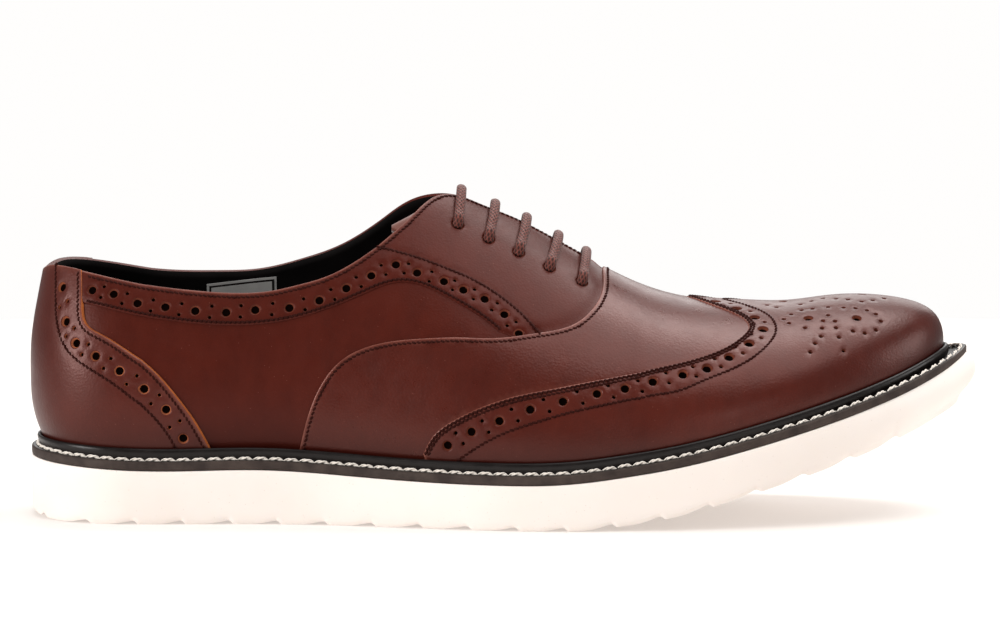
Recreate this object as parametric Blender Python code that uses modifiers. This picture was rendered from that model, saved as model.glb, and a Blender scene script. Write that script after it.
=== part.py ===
"""A men's wingtip brogue shoe for the right foot, EU 42, on a cream wedge sole.

Lengths below are in millimetres. X runs from the heel to the toe, -Y is the lateral
side, +Z is up, and the sole stands on z = 0. The objects are made in metres.

The upper follows one last. A place on it is given as on a flat leather pattern:
along, the distance from the heel's back in mm, and girth, the distance in mm from the
ridge of the instep down the side, negative on the lateral side, positive on the medial.
In front of BALL the pattern turns about the ridge like a fan, and behind HEEL it wraps
round the heel.
"""

import bpy
import bmesh
import numpy as np
from mathutils import Vector

MM = 0.001

# Driving sizes
CENTRE_ALONG = 153.1
CENTRE_ACROSS = -2.0
HEEL = 38.0
BALL = 196.0
HEEL_WRAP = 56.0
TOE_TIP = 295.6
TOE_DRIFT = 6.0
TOE_TUCK = 0.9
TOE_BULGE = 4.0
TOE_SIDE = 0.72
TOE_TOP = 0.80
TOE_POWER_LATERAL = 1.86
TOE_POWER_MEDIAL = 2.12
HEEL_POWER = 2.25
WELT_THICK = 3.4
GAP = 0.3

# Layers of the upper, as distances outside the last
CAP_FACE = 0.0
CAP_THICK = 1.0
VAMP_FACE = -0.4
LAYER_BACK = -1.2
UPPER_FACE = -1.75
UPPER_WALL = 1.8
TOE_RELIEF = 0.5
TONGUE_FACE = -4.2
TONGUE_THICK = 1.8
TONGUE_BEND = 141.0
TONGUE_DROP = 5.6
TONGUE_SAG = 8.0
TONGUE_HELD = 14.0

# Sole
LEDGE = 5.0
TOE_LEDGE = 3.4
NOSE_REACH = 3.2
TREAD_PITCH = 15.1
TREAD_START = 7.2
TREAD_COUNT = 18
TREAD_DEPTH = 1.2
TREAD_FLAT = 0.45
TREAD_DROP = 0.87
INSOLE_INSET = 5.2
INSOLE_THICK = 5.4
WELT_REACH = 3.6

# Laces
LACE_RADIUS = 1.65
LACE_LIFT = 0.45
LACE_INSET = 0.06
EYELET_RADIUS = 1.5
THROAT_END = 185.0
FACING_EDGE = 2.4
FACING_CORNER = 136.0

LATERAL = -1.0
MEDIAL = 1.0


def table(text):
    """Read a small table whose first line names its columns."""
    lines = [line.split() for line in text.strip().splitlines()]
    rows = np.array([[float(v) for v in line] for line in lines[1:]])
    return {name: rows[:, i] for i, name in enumerate(lines[0])}


def spline(xs, ys, start=None, end=None):
    """Smooth curve through the points, natural at an end whose slope isn't given."""
    n = len(xs)
    h = np.diff(xs)
    d = np.diff(ys) / h
    a = np.zeros((n, n))
    b = np.zeros(n)
    for i in range(1, n - 1):
        a[i, i - 1:i + 2] = h[i], 2 * (h[i - 1] + h[i]), h[i - 1]
        b[i] = 3 * (h[i] * d[i - 1] + h[i - 1] * d[i])
    a[0, :2] = (2, 1) if start is None else (1, 0)
    b[0] = 3 * d[0] if start is None else start
    a[-1, -2:] = (1, 2) if end is None else (0, 1)
    b[-1] = 3 * d[-1] if end is None else end
    slope = np.linalg.solve(a, b)

    def at(x):
        x = np.clip(x, xs[0], xs[-1])
        i = np.clip(np.searchsorted(xs, x) - 1, 0, n - 2)
        t = (x - xs[i]) / h[i]
        return ((1 + 2 * t) * (1 - t) ** 2 * ys[i] + t * (1 - t) ** 2 * h[i] * slope[i]
                + t * t * (3 - 2 * t) * ys[i + 1] + t * t * (t - 1) * h[i] * slope[i + 1])
    return at


# Top of the sole and the level its ripples touch
PROFILE = table("""
along  seat  tread
0      19.4  1.8
8      18.6  0.4
16     18.0  0.0
45     16.8  0.0
74     17.2  0.0
110    15.4  0.0
150    14.2  0.0
172    14.7  0.0
190    16.8  1.6
208    19.9  4.8
232    25.7  11.4
258    33.1  19.3
285    42.5  29.0
305    51.6  37.6
""")

# Half widths of the upper, its tuck at the feather edge, the height of its widest point,
# and how full the side and the top of each section are
SECTIONS = table("""
along  lateral  medial  tuck_lateral  tuck_medial  bulge  side  top   centre
38     35.0     34.5    2.6           2.8          19.0   0.50  0.45  0.0
62     35.0     34.0    3.0           3.6          18.0   0.50  0.42  0.0
86     36.0     33.0    3.4           5.0          17.0   0.50  0.40  0.0
110    40.5     33.5    3.2           6.5          15.0   0.47  0.32  0.5
140    48.5     38.0    2.4           6.5          12.0   0.44  0.24  1.0
165    52.5     44.0    1.8           4.0          9.5    0.44  0.24  1.0
182    52.6     47.5    1.6           2.4          8.0    0.50  0.34  1.0
196    51.6     49.0    1.5           1.8          7.0    0.54  0.44  1.0
""")

# Height of the ridge over the welt
RIDGE = table("""
along  height
38     78.0
80     84.0
110    88.5
125    88.8
137    86.6
147    82.6
158    78.0
168    72.3
178    65.7
187    59.3
196    53.6
206    48.4
216    44.6
230    40.5
245    37.2
258    36.4
268    35.4
280    33.4
296    30.0
""")

# Back of the heel over the welt
BACK = table("""
height  along
0       5.4
5       3.0
12      0.9
22      0.2
34      0.5
46      2.3
60      5.0
90      11.0
""")

# Edge of the collar and of the facings
TOPLINE = table("""
along  lateral  medial
-18    21.5     21.5
-4     23.0     22.5
14     28.4     27.0
28     33.0     31.0
43     36.8     34.2
60     40.8     36.5
72     42.9     37.5
80     43.2     36.6
88     42.3     34.6
96     40.7     31.8
103    37.7     28.0
109    33.8     23.5
114    29.6     19.0
118    25.5     15.0
122    20.8     11.4
126    14.9     8.6
130    9.2      6.4
134    5.4      4.6
139    3.2      3.0
146    2.4      2.4
185    2.4      2.4
""")

# Edge of the vamp where it laps over the quarters, from the throat down to the welt
SEAM = table("""
along  girth
185.6  0.0
185.3  9.0
185.0  19.0
183.0  29.0
180.0  36.0
176.0  42.0
170.0  47.2
163.0  51.5
155.0  55.9
145.0  59.6
130.0  63.2
118.0  64.2
109.0  65.6
101.0  69.2
95.0   76.0
91.0   85.0
88.0   97.0
""")

# Edge of the wing cap, from its peak on the ridge down to the welt
WING = table("""
along  girth
213.0  0.0
218.0  8.0
225.0  15.6
230.5  22.2
232.1  27.4
230.6  32.0
226.9  37.4
219.0  43.8
208.0  49.4
195.0  54.6
178.5  63.6
161.0  73.4
146.5  82.0
136.5  89.4
130.5  95.0
127.5  101.0
""")

# Front edge of the heel counter, from the collar down to the welt
COUNTER = table("""
along  girth
16.8   29.2
18.6   39.0
21.0   48.0
28.0   53.2
36.7   59.7
43.0   65.8
49.0   73.4
55.0   82.6
60.0   93.0
""")

# Lower edge of the brogued collar band, to where it meets the vamp
BAND = table("""
along  girth
20.6   41.2
32.0   44.8
46.0   48.4
62.0   52.0
74.0   53.6
86.0   53.4
98.0   51.0
109.0  47.2
119.5  44.0
128.0  45.2
137.0  48.6
146.0  51.6
152.0  55.2
""")

EYELETS = table("""
along  girth
138.4  18.8
148.2  19.9
157.8  21.0
167.6  22.0
178.0  22.4
""")

TONGUE = table("""
along  half_width
117.0  17.0
150.0  24.0
193.0  20.0
""")

# Section of the welt: its outer part in from the edge of the ledge, and its lip by how far
# it stands out from a place on the last that is so far above the feather edge
WELT_EDGE = table("""
inset  height
0.2    0.3
0.2    3.1
1.4    3.2
2.3    2.8
""")

WELT_LIP = table("""
above  out   drop
3.6    1.5   0.4
3.6    0.45  0.0
1.0    0.4   1.6
""")

# Rounded front of the sole, ahead of the welt's edge and below the seat there
NOSE = table("""
ahead  below
0.6    1.2
3.2    7.0
2.0    12.5
""")

seat = spline(PROFILE["along"], PROFILE["seat"])
tread = spline(PROFILE["along"], PROFILE["tread"])
ridge = spline(RIDGE["along"], RIDGE["height"])
back = spline(BACK["height"], BACK["along"])


def section_curve(name, start=None, end=None):
    return spline(SECTIONS["along"], SECTIONS[name], start, end)


half_lateral = section_curve("lateral", 0.0, -0.02)
half_medial = section_curve("medial", 0.0, 0.03)
tuck_lateral = section_curve("tuck_lateral", 0.0)
tuck_medial = section_curve("tuck_medial", 0.0)
bulge = section_curve("bulge")
side_fullness = section_curve("side")
top_fullness = section_curve("top")
centre = section_curve("centre")


def welt_top(x):
    return seat(x) + WELT_THICK


def toe_share(x):
    """How far forward a place is between BALL and the toe tip."""
    return np.clip((x - BALL) / (TOE_TIP - BALL), 0, 1)


def quarter_arch(t, side, top):
    """Shares of the half width and of the height from the widest point to the ridge."""
    r = 1 - t
    across = r ** 3 + 3 * r * r * t + 3 * r * t * t * top
    up = 3 * r * r * t * side + 3 * r * t * t + t ** 3
    return across, up


def section(side, u, t):
    """Point of the last at station u; t runs from the feather edge -1 to the ridge 1.

    Stations past BALL are degrees of the turn round the toe, and those before HEEL are
    degrees of the turn round the heel.
    """
    side, u, t = np.broadcast_arrays(side, u, t)
    lateral = side < 0
    x = np.clip(u, HEEL, BALL)
    turn = np.radians(np.clip(u - BALL, 0, 90))
    share = np.clip(u - BALL, 0, 90) / 90
    ease = share * share * (3 - 2 * share)
    widest = bulge(x) * (1 - ease) + TOE_BULGE * ease
    across, up = quarter_arch(np.clip(t, 0, 1),
                              side_fullness(x) * (1 - ease) + TOE_SIDE * ease,
                              top_fullness(x) * (1 - ease) + TOE_TOP * ease)
    half = np.where(lateral, half_lateral(x), half_medial(x))
    tuck = np.where(lateral, tuck_lateral(x), tuck_medial(x))
    tuck = tuck * (1 - ease) + TOE_TUCK * ease
    power = np.where(lateral, TOE_POWER_LATERAL, TOE_POWER_MEDIAL)
    reach = np.sin(turn) ** (2 / power)
    spread = np.maximum(np.cos(turn), 0) ** (2 / power)
    edge_x = x + (TOE_TIP - BALL) * reach
    edge_y = side * half * spread + TOE_DRIFT * reach ** 2
    middle = centre(x)
    out_x = edge_x - x
    out_y = edge_y - middle
    size = np.hypot(out_x, out_y)
    low = t < 0
    rise = np.clip(1 + t, 0, 1)
    inward = tuck * (1 - rise) ** 2 / size
    px = np.where(low, edge_x - out_x * inward, x + out_x * across)
    py = np.where(low, edge_y - out_y * inward, middle + out_y * across)
    top = ridge(np.where(u > BALL, px, x))
    height = np.where(low, widest * rise, widest + (top - widest) * up)
    wrap = np.radians(np.clip(HEEL - u, 0, 90))
    round_x = HEEL - (HEEL - back(height)) * np.sin(wrap) ** (2 / HEEL_POWER)
    round_y = py * np.maximum(np.cos(wrap), 0) ** (2 / HEEL_POWER)
    px = np.where(u < HEEL, round_x, px)
    py = np.where(u < HEEL, round_y, py)
    return np.stack([px, py, welt_top(px) + height], -1)


STEPS = 1 - 2 * np.linspace(0, 1, 121)


def girths(side, u):
    """Girth from the ridge at each of STEPS down one column of the last."""
    points = section(np.asarray(side)[..., None], np.asarray(u)[..., None], STEPS)
    lengths = np.cumsum(np.linalg.norm(np.diff(points, axis=-2), axis=-1), -1)
    return np.concatenate([np.zeros(lengths.shape[:-1] + (1,)), lengths], -1)


def station(side, along, girth):
    """Station of the column that holds a place of the pattern."""
    half = np.where(side < 0, half_lateral(BALL), half_medial(BALL))
    power = np.where(side < 0, TOE_POWER_LATERAL, TOE_POWER_MEDIAL)
    slant = np.maximum(along - BALL, 0) / np.maximum(girth, 1e-6)
    turn = np.degrees(np.arctan((half / (TOE_TIP - BALL) * slant) ** (power / 2)))
    wrap = np.clip((HEEL - along) / HEEL_WRAP, 0, 1) * 90
    return np.where(along > BALL, BALL + turn, np.where(along < HEEL, HEEL - wrap, along))


def skin(along, girth):
    """Points of the last at places of the pattern."""
    along, girth = np.broadcast_arrays(np.asarray(along, float), np.asarray(girth, float))
    side = np.where(girth < 0, LATERAL, MEDIAL)
    depth = np.abs(girth)
    u = station(side, along, depth)
    down = np.where(along > BALL, np.hypot(along - BALL, depth), depth)
    lengths = girths(side, u)
    i = np.clip((lengths < down[..., None]).sum(-1) - 1, 0, len(STEPS) - 2)
    low = np.take_along_axis(lengths, i[..., None], -1)[..., 0]
    high = np.take_along_axis(lengths, i[..., None] + 1, -1)[..., 0]
    share = np.clip((down - low) / np.maximum(high - low, 1e-9), 0, 1)
    return section(side, u, STEPS[i] + share * (STEPS[i + 1] - STEPS[i]))


def normals(along, girth, step=0.4):
    """Outward directions of the last at places of the pattern."""
    forward = skin(along + step, girth) - skin(along - step, girth)
    across = skin(along, girth + step) - skin(along, girth - step)
    n = np.cross(forward, across)
    n[..., 1] = np.where(along <= HEEL - HEEL_WRAP, 0, n[..., 1])
    return n / np.linalg.norm(n, axis=-1, keepdims=True)


def layer(places, offset):
    """Points at a distance outside the last, for an array of (along, girth) places."""
    along = places[..., 0]
    girth = places[..., 1]
    return skin(along, girth) + np.asarray(offset)[..., None] * normals(along, girth)


def feather(side, along):
    """Girth at the feather edge beside a place before BALL."""
    along = np.asarray(along, float)
    return girths(side, station(side, along, np.ones_like(along)))[..., -1]


def toe_feather(side, angle):
    """Place on the feather edge at an angle of the pattern's fan, 0 at the side."""
    ray = np.array([np.sin(angle), np.cos(angle)])
    u = station(side, BALL + ray[0], max(ray[1], 1e-6))
    depth = girths(side, u)[..., -1]
    return np.array([BALL + depth * ray[0], side * depth * ray[1]])


def side_place(side, along, girth):
    """Place from a table measured on the lateral side, scaled to the side's own girth."""
    scale = 1.0 if side < 0 else feather(MEDIAL, along) / feather(LATERAL, along)
    return np.stack([along, side * girth * scale], -1)


def resample(points, count, power=1.0):
    """Points along a smooth curve through the given points, closer at its start if asked."""
    points = np.asarray(points, float)
    steps = np.r_[0, np.cumsum(np.linalg.norm(np.diff(points, axis=0), axis=1))]
    curves = [spline(steps, points[:, i]) for i in range(points.shape[1])]
    fine = np.linspace(0, steps[-1], 20 * count)
    dense = np.stack([c(fine) for c in curves], -1)
    length = np.r_[0, np.cumsum(np.linalg.norm(np.diff(dense, axis=0), axis=1))]
    wanted = length[-1] * np.linspace(0, 1, count) ** power
    return np.stack([np.interp(wanted, length, dense[:, i]) for i in range(points.shape[1])], -1)


def pattern_edge(side, rows, count, power=1.0):
    """Resampled edge of a panel on one side, from its table."""
    return resample(side_place(side, rows["along"], rows["girth"]), count, power)


def row_shares(rows):
    """Shares of the way down the last, closer together near the feather edge."""
    share = np.linspace(0, 1, rows)
    return 0.5 * share + 0.5 * np.sin(share * np.pi / 2)


def blend(a, b, shares):
    """Grid between two edges with the same number of points."""
    shares = np.asarray(shares)[:, None, None]
    return a[None] * (1 - shares) + b[None] * shares


# Blender helpers

def clear_scene():
    for obj in list(bpy.data.objects):
        bpy.data.objects.remove(obj, do_unlink=True)
    for collection in list(bpy.data.collections):
        bpy.data.collections.remove(collection)


def new_collection(name):
    collection = bpy.data.collections.new(name)
    bpy.context.scene.collection.children.link(collection)
    return collection


def material(name, colour, roughness, metallic=0.0):
    mat = bpy.data.materials.new(name)
    mat.use_nodes = True
    shader = mat.node_tree.nodes["Principled BSDF"]
    shader.inputs["Base Color"].default_value = (*colour, 1.0)
    shader.inputs["Roughness"].default_value = roughness
    shader.inputs["Metallic"].default_value = metallic
    return mat


def add_object(name, bm, mat, collection):
    """Turn a bmesh in millimetres into a smooth-shaded object in metres."""
    bmesh.ops.scale(bm, vec=(MM, MM, MM), verts=bm.verts)
    bmesh.ops.recalc_face_normals(bm, faces=bm.faces)
    mesh = bpy.data.meshes.new(name)
    bm.to_mesh(mesh)
    bm.free()
    obj = bpy.data.objects.new(name, mesh)
    if mat is not None:
        mesh.materials.append(mat)
    collection.objects.link(obj)
    return obj


def placed(points):
    """Move points of the pattern's frame to the shoe's own origin."""
    return np.asarray(points, float) - (CENTRE_ALONG, CENTRE_ACROSS, 0)


def grid_bmesh(points, closed=False):
    """Open surface over a grid of points, with equal points merged."""
    bm = bmesh.new()
    points = placed(points)
    verts = [[bm.verts.new(p) for p in row] for row in points]
    columns = points.shape[1]
    for upper_row, lower_row in zip(verts[:-1], verts[1:]):
        for j in range(columns if closed else columns - 1):
            k = (j + 1) % columns
            bm.faces.new((upper_row[j], upper_row[k], lower_row[k], lower_row[j]))
    bmesh.ops.remove_doubles(bm, verts=bm.verts, dist=1e-4)
    return bm


def shell(name, points, thickness, mat, collection, closed=False):
    """A sheet of leather: an open surface, thickened inwards."""
    bm = grid_bmesh(points, closed)
    obj = add_object(name, bm, mat, collection)
    face_outward(obj)
    solid = obj.modifiers.new("thickness", "SOLIDIFY")
    solid.thickness = thickness * MM
    solid.offset = -1.0
    solid.use_even_offset = True
    solid.use_quality_normals = True
    obj.data.shade_smooth()
    return obj


def face_outward(obj):
    """Flip an open surface whose normals point at the inside of the foot."""
    mesh = obj.data
    inside = 0.0
    for poly in mesh.polygons:
        middle = np.array(poly.center)
        heart = np.array([np.clip(middle[0], -0.11, 0.09), 0.0, 0.03])
        inside += poly.area * float(np.dot(np.array(poly.normal), middle - heart))
    if inside < 0:
        mesh.flip_normals()


def boolean(obj, cutter, operation="DIFFERENCE"):
    cut = obj.modifiers.new("cut", "BOOLEAN")
    cut.operation = operation
    cut.solver = "EXACT"
    cut.object = cutter


def hide(obj):
    obj.hide_render = True
    obj.display_type = "WIRE"


# The upper and its overlays

def topline_girth(side, along):
    name = "lateral" if side < 0 else "medial"
    return spline(TOPLINE["along"], TOPLINE[name])(along)


COLLAR_COLUMNS = (52, 66, 79, 90, 99.5, 107.5, 114, 119.5, 124, 128.5, 134, 142, 153, 164, 174.5,
                  182)
VAMP_COLUMNS = (185.0, 190.0, 196.0)
HEEL_COLUMNS = np.linspace(HEEL - HEEL_WRAP, HEEL, 8)
TOE_ANGLES = np.radians((13, 26, 38, 49, 59, 67, 74, 80, 85, 90))
UPPER_ROWS = 14
TOE_GATHER = 1.3
WELT_SEAT = 0.6
WING_HALF = 18
WING_SLANT = 8.0
WING_CLEAR = 1.0
LAP_CLEAR = 0.5
COUNTER_CLEAR = 2.0


def upper_columns(side):
    """Columns of places from the heel round to the toe tip, top edge first."""
    shares = row_shares(UPPER_ROWS)
    columns = []
    for along in (*HEEL_COLUMNS, *COLLAR_COLUMNS, *VAMP_COLUMNS):
        top = 0.0 if along >= THROAT_END else float(topline_girth(side, along))
        girth = top + shares * (float(feather(side, along)) - top)
        columns.append(np.stack([np.full(UPPER_ROWS, along), side * np.maximum(girth, 1e-4)], -1))
    for angle in TOE_ANGLES:
        end = toe_feather(side, angle)
        columns.append(np.array([BALL, side * 1e-4]) + shares[:, None] * (end - (BALL, 0)))
    return columns


def upper_wall(places):
    """One column of the upper's outer face, deeper under the toe and let into the welt."""
    wall = layer(places, UPPER_FACE - TOE_RELIEF * toe_share(places[:, 0]))
    wall[-1, 2] -= WELT_SEAT
    return wall


def make_upper(mat, collection):
    lateral = [upper_wall(column) for column in upper_columns(LATERAL)]
    medial = [upper_wall(column) for column in upper_columns(MEDIAL)]
    fan = len(lateral) - len(TOE_ANGLES)
    throat = fan - len(VAMP_COLUMNS)
    medial[0] = lateral[0]
    medial[-1] = lateral[-1]
    pole = lateral[fan - 1][0]
    for k in range(throat, len(lateral)):
        shared = pole if k >= fan else (lateral[k][0] + medial[k][0]) / 2
        lateral[k][0] = shared
        medial[k][0] = shared
    grid = np.stack(lateral + medial[-2:0:-1], 1)
    return shell("upper", grid, UPPER_WALL, mat, collection, closed=True)


def make_vamp(mat, collection):
    """Vamp between the lap over the quarters and the edge of the wing cap."""
    back_edge = two_sided(SEAM, 0.0, 39)
    front_edge = two_sided(WING, -WING_CLEAR, 39)
    grid = layer(blend(back_edge, front_edge, np.linspace(0, 1, 6)), VAMP_FACE)
    return shell("vamp", grid, VAMP_FACE - LAYER_BACK, mat, collection)


def two_sided(rows, shift, count, power=1.0):
    """Edge from the lateral welt over the ridge to the medial welt, moved along the shoe."""
    half = count // 2 + 1
    lateral = pattern_edge(LATERAL, rows, half, power)[::-1]
    medial = pattern_edge(MEDIAL, rows, half, power)
    edge = np.concatenate([lateral, medial[1:]])
    return edge + (shift, 0)


def make_wing_cap(mat, collection):
    """Toe cap, a fan of rows between its own edge and the feather edge."""
    edge = two_sided(WING, 0.0, 2 * WING_HALF - 1, TOE_GATHER)
    border = np.concatenate([feather_border(LATERAL, WING_HALF)[::-1],
                             feather_border(MEDIAL, WING_HALF)[1:]])
    grid = layer(blend(edge, border, row_shares(11)), CAP_FACE)
    return shell("wing_cap", grid, CAP_THICK, mat, collection)


def feather_border(side, count):
    """Feather edge from the toe tip back to just in front of the wing's end."""
    wing_end = WING["along"][-1] + WING_SLANT
    turns = [toe_feather(side, angle) for angle in np.linspace(np.pi / 2, 0, 12)]
    side_edge = [(x, side * float(feather(side, x) - WING_CLEAR))
                 for x in np.linspace(BALL, wing_end, 9)[1:]]
    return resample([*turns, *side_edge], count, TOE_GATHER)


def make_counter(mat, collection):
    """Swan-neck counter from one front edge round the heel to the other."""
    rows = 10
    heel_back = HEEL - HEEL_WRAP
    tail = np.stack([np.full(rows, heel_back),
                     np.linspace(topline_girth(LATERAL, heel_back), feather(LATERAL, heel_back), rows)], -1)
    halves = []
    for side in (LATERAL, MEDIAL):
        edge = resample(np.stack([COUNTER["along"], COUNTER["girth"]], -1), rows)
        edge[0, 1] = topline_girth(side, edge[0, 0])
        edge[-1, 1] = feather(side, edge[-1, 0])
        grid = blend(tail, edge, np.linspace(0, 1, 9)) * (1, side)
        halves.append(layer(grid, CAP_FACE))
    halves[1][0] = halves[0][0]
    columns = np.concatenate([halves[0][::-1], halves[1][1:]])
    return shell("heel_counter", columns.transpose(1, 0, 2), CAP_FACE - LAYER_BACK, mat, collection)


def make_facing(name, side, mat, collection):
    """Collar band and facing of one side, from the counter to the vamp's lap."""
    collar_count = 14
    throat_count = 7
    starts = COUNTER["along"][0] + COUNTER_CLEAR
    collar = np.linspace(starts, FACING_CORNER, 60)
    upper_edge = resample(np.stack([collar, topline_girth(side, collar)], -1), collar_count)
    throat = np.linspace(FACING_CORNER, THROAT_END - FACING_EDGE, throat_count)
    facing = np.stack([throat, topline_girth(side, throat)], -1)
    top = np.concatenate([upper_edge, facing[1:]]) * (1, side)
    low = pattern_edge(side, BAND, collar_count)
    shown = (SEAM["girth"] < BAND["girth"][-1]) & (SEAM["girth"] > FACING_EDGE + 1)
    lap = side_place(side, SEAM["along"][shown][::-1], SEAM["girth"][shown][::-1]) - (LAP_CLEAR, 0)
    end = (THROAT_END - LAP_CLEAR, side * (FACING_EDGE + 3 * LAP_CLEAR))
    lap = resample([low[-1], *lap, end], throat_count)
    bottom = np.concatenate([low, lap[1:]])
    grid = layer(blend(top, bottom, np.linspace(0, 1, 6)), VAMP_FACE)
    return shell(name, grid, VAMP_FACE - LAYER_BACK, mat, collection)


def eyelet_places(side):
    return side_place(side, EYELETS["along"], EYELETS["girth"])


def make_eyelet_cutters(collection):
    """Ten punches, square to the last, in one cutter."""
    bm = bmesh.new()
    for side in (LATERAL, MEDIAL):
        places = eyelet_places(side)
        points = placed(skin(places[:, 0], places[:, 1]))
        directions = normals(places[:, 0], places[:, 1])
        for point, direction in zip(points, directions):
            punch = bmesh.ops.create_cone(bm, cap_ends=True, segments=8, radius1=EYELET_RADIUS,
                                          radius2=EYELET_RADIUS, depth=12)["verts"]
            turn = Vector((0, 0, 1)).rotation_difference(Vector(direction)).to_matrix()
            bmesh.ops.rotate(bm, verts=punch, cent=(0, 0, 0), matrix=turn)
            bmesh.ops.translate(bm, verts=punch, vec=Vector(point))
    cutter = add_object("eyelet_punch", bm, None, collection)
    hide(cutter)
    return cutter


def make_tongue(mat, collection):
    """Tongue under the throat, its free top lower and sagging away from the lateral side."""
    top, _, end = TONGUE["along"]
    along = np.concatenate([np.linspace(top, TONGUE_BEND, 5), np.linspace(TONGUE_BEND, end, 8)[1:]])
    half_width = np.interp(along, TONGUE["along"], TONGUE["half_width"])
    across = np.linspace(-1, 1, 8)
    places = np.stack([along[:, None] + 0 * across, half_width[:, None] * across], -1)
    points = layer(places, TONGUE_FACE)
    free = np.clip((TONGUE_BEND - along) / (TONGUE_BEND - top), 0, 1)
    loose = np.clip((places[..., 1] + TONGUE_HELD) / TONGUE_HELD, 0, 1)
    points[..., 2] -= (TONGUE_DROP + TONGUE_SAG * loose) * free[:, None] ** 2
    return shell("tongue", points, TONGUE_THICK, mat, collection)


def make_lace_bars(mat, collection):
    """Five straight bars over the facings, each from one eyelet across to the other."""
    lift = VAMP_FACE + LACE_LIFT + LACE_RADIUS
    lateral = eyelet_places(LATERAL)
    medial = eyelet_places(MEDIAL)
    for number, (a, b) in enumerate(zip(lateral, medial), start=1):
        share = np.linspace(LACE_INSET, 1 - LACE_INSET, 8)
        places = a + share[:, None] * (b - a)
        route = resample(layer(places, lift), 8)
        obj = tube(f"lace_bar_{number}", placed(route), LACE_RADIUS, collection)
        obj.data.materials.append(mat)


def tube(name, points, radius, collection):
    curve = bpy.data.curves.new(name, "CURVE")
    curve.dimensions = "3D"
    curve.bevel_depth = radius * MM
    curve.bevel_resolution = 2
    curve.use_fill_caps = True
    spline_data = curve.splines.new("POLY")
    spline_data.points.add(len(points) - 1)
    for point, place in zip(spline_data.points, points):
        point.co = (*(np.asarray(place) * MM), 1.0)
    obj = bpy.data.objects.new(name, curve)
    collection.objects.link(obj)
    return obj


# The sole

def rim():
    """Stations of the feather edge, from the heel's back to the toe tip."""
    heel = np.linspace(HEEL - 90, HEEL, 9, endpoint=False)
    middle = np.linspace(HEEL, BALL, 13, endpoint=False)
    toe = BALL + 90 * np.linspace(0, 1, 13) ** 0.9
    return np.concatenate([heel, middle, toe])


def ledge(x):
    """How far the sole stands out past the feather edge."""
    return LEDGE + TOE_LEDGE * toe_share(x) ** 3


def rim_loop():
    """Closed loop of feather points, outward directions and stations, lateral side first."""
    lateral = rim()
    points = [section(LATERAL, u, -1.0) for u in lateral]
    points += [section(MEDIAL, u, -1.0) for u in lateral[-2:0:-1]]
    stations = np.concatenate([lateral, lateral[-2:0:-1]])
    sides = np.where(np.arange(len(points)) < len(lateral), LATERAL, MEDIAL)
    points = np.array(points)
    points[0, 1] = 0.0
    ahead = np.roll(points, -1, 0) - np.roll(points, 1, 0)
    outward = np.stack([ahead[:, 1], -ahead[:, 0], np.zeros(len(points))], -1)
    outward /= np.linalg.norm(outward, axis=1, keepdims=True)
    return points, outward, stations, sides


def tread_profile():
    """Ripples of the underside, from the toe back to the heel."""
    places = []
    for k in range(TREAD_COUNT, -2, -1):
        start = TREAD_START + k * TREAD_PITCH
        for share, lift in ((1.0, 0.0), (TREAD_DROP, 1.0), (TREAD_FLAT, 0.0)):
            along = start + share * TREAD_PITCH
            if 5.0 < along < 283.0:
                places.append((along, max(float(tread(along)), 0.0) + lift * TREAD_DEPTH))
    return places


def side_profile():
    """Closed outline of the sole from the side: seat, rounded nose, ripples, heel."""
    nose = TOE_TIP + LEDGE + TOE_LEDGE
    behind = -2 * LEDGE
    top = [(x, float(seat(x))) for x in np.linspace(behind, nose - NOSE_REACH, 34)]
    front = [(nose + ahead, float(seat(nose)) - below)
             for ahead, below in zip(NOSE["ahead"], NOSE["below"])]
    under = [(x, float(tread(x))) for x in (nose - NOSE_REACH, nose - 3 * NOSE_REACH)]
    heel = [(behind, float(tread(0)))]
    return top + front + under + tread_profile() + heel


def prism(name, outline, axis, low, high, collection):
    """Closed prism over a plan outline (axis 2) or a side outline (axis 1)."""
    bm = bmesh.new()
    outline = np.asarray(outline, float)
    points = np.insert(outline, axis, low, axis=1)
    face = bm.faces.new([bm.verts.new(p) for p in placed(points)])
    side = bmesh.ops.extrude_face_region(bm, geom=[face])["geom"]
    moved = [v for v in side if isinstance(v, bmesh.types.BMVert)]
    step = Vector((0, 0, 0))
    step[axis] = high - low
    bmesh.ops.translate(bm, verts=moved, vec=step)
    return add_object(name, bm, None, collection)


def make_outsole(mat, collection, cutters):
    """Wedge sole: its plan outline cut to the profile seen from the side."""
    points, outward, _, _ = rim_loop()
    reach = ledge(points[:, 0]) + NOSE_REACH * toe_share(points[:, 0]) ** 4
    outline = (points + outward * reach[:, None])[:, :2]
    sole = prism("outsole", outline, 2, -5, 70, collection)
    sole.data.materials.append(mat)
    profile = prism("sole_profile", side_profile(), 1, -80, 80, cutters)
    hide(profile)
    boolean(sole, profile, "INTERSECT")
    return sole


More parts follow.
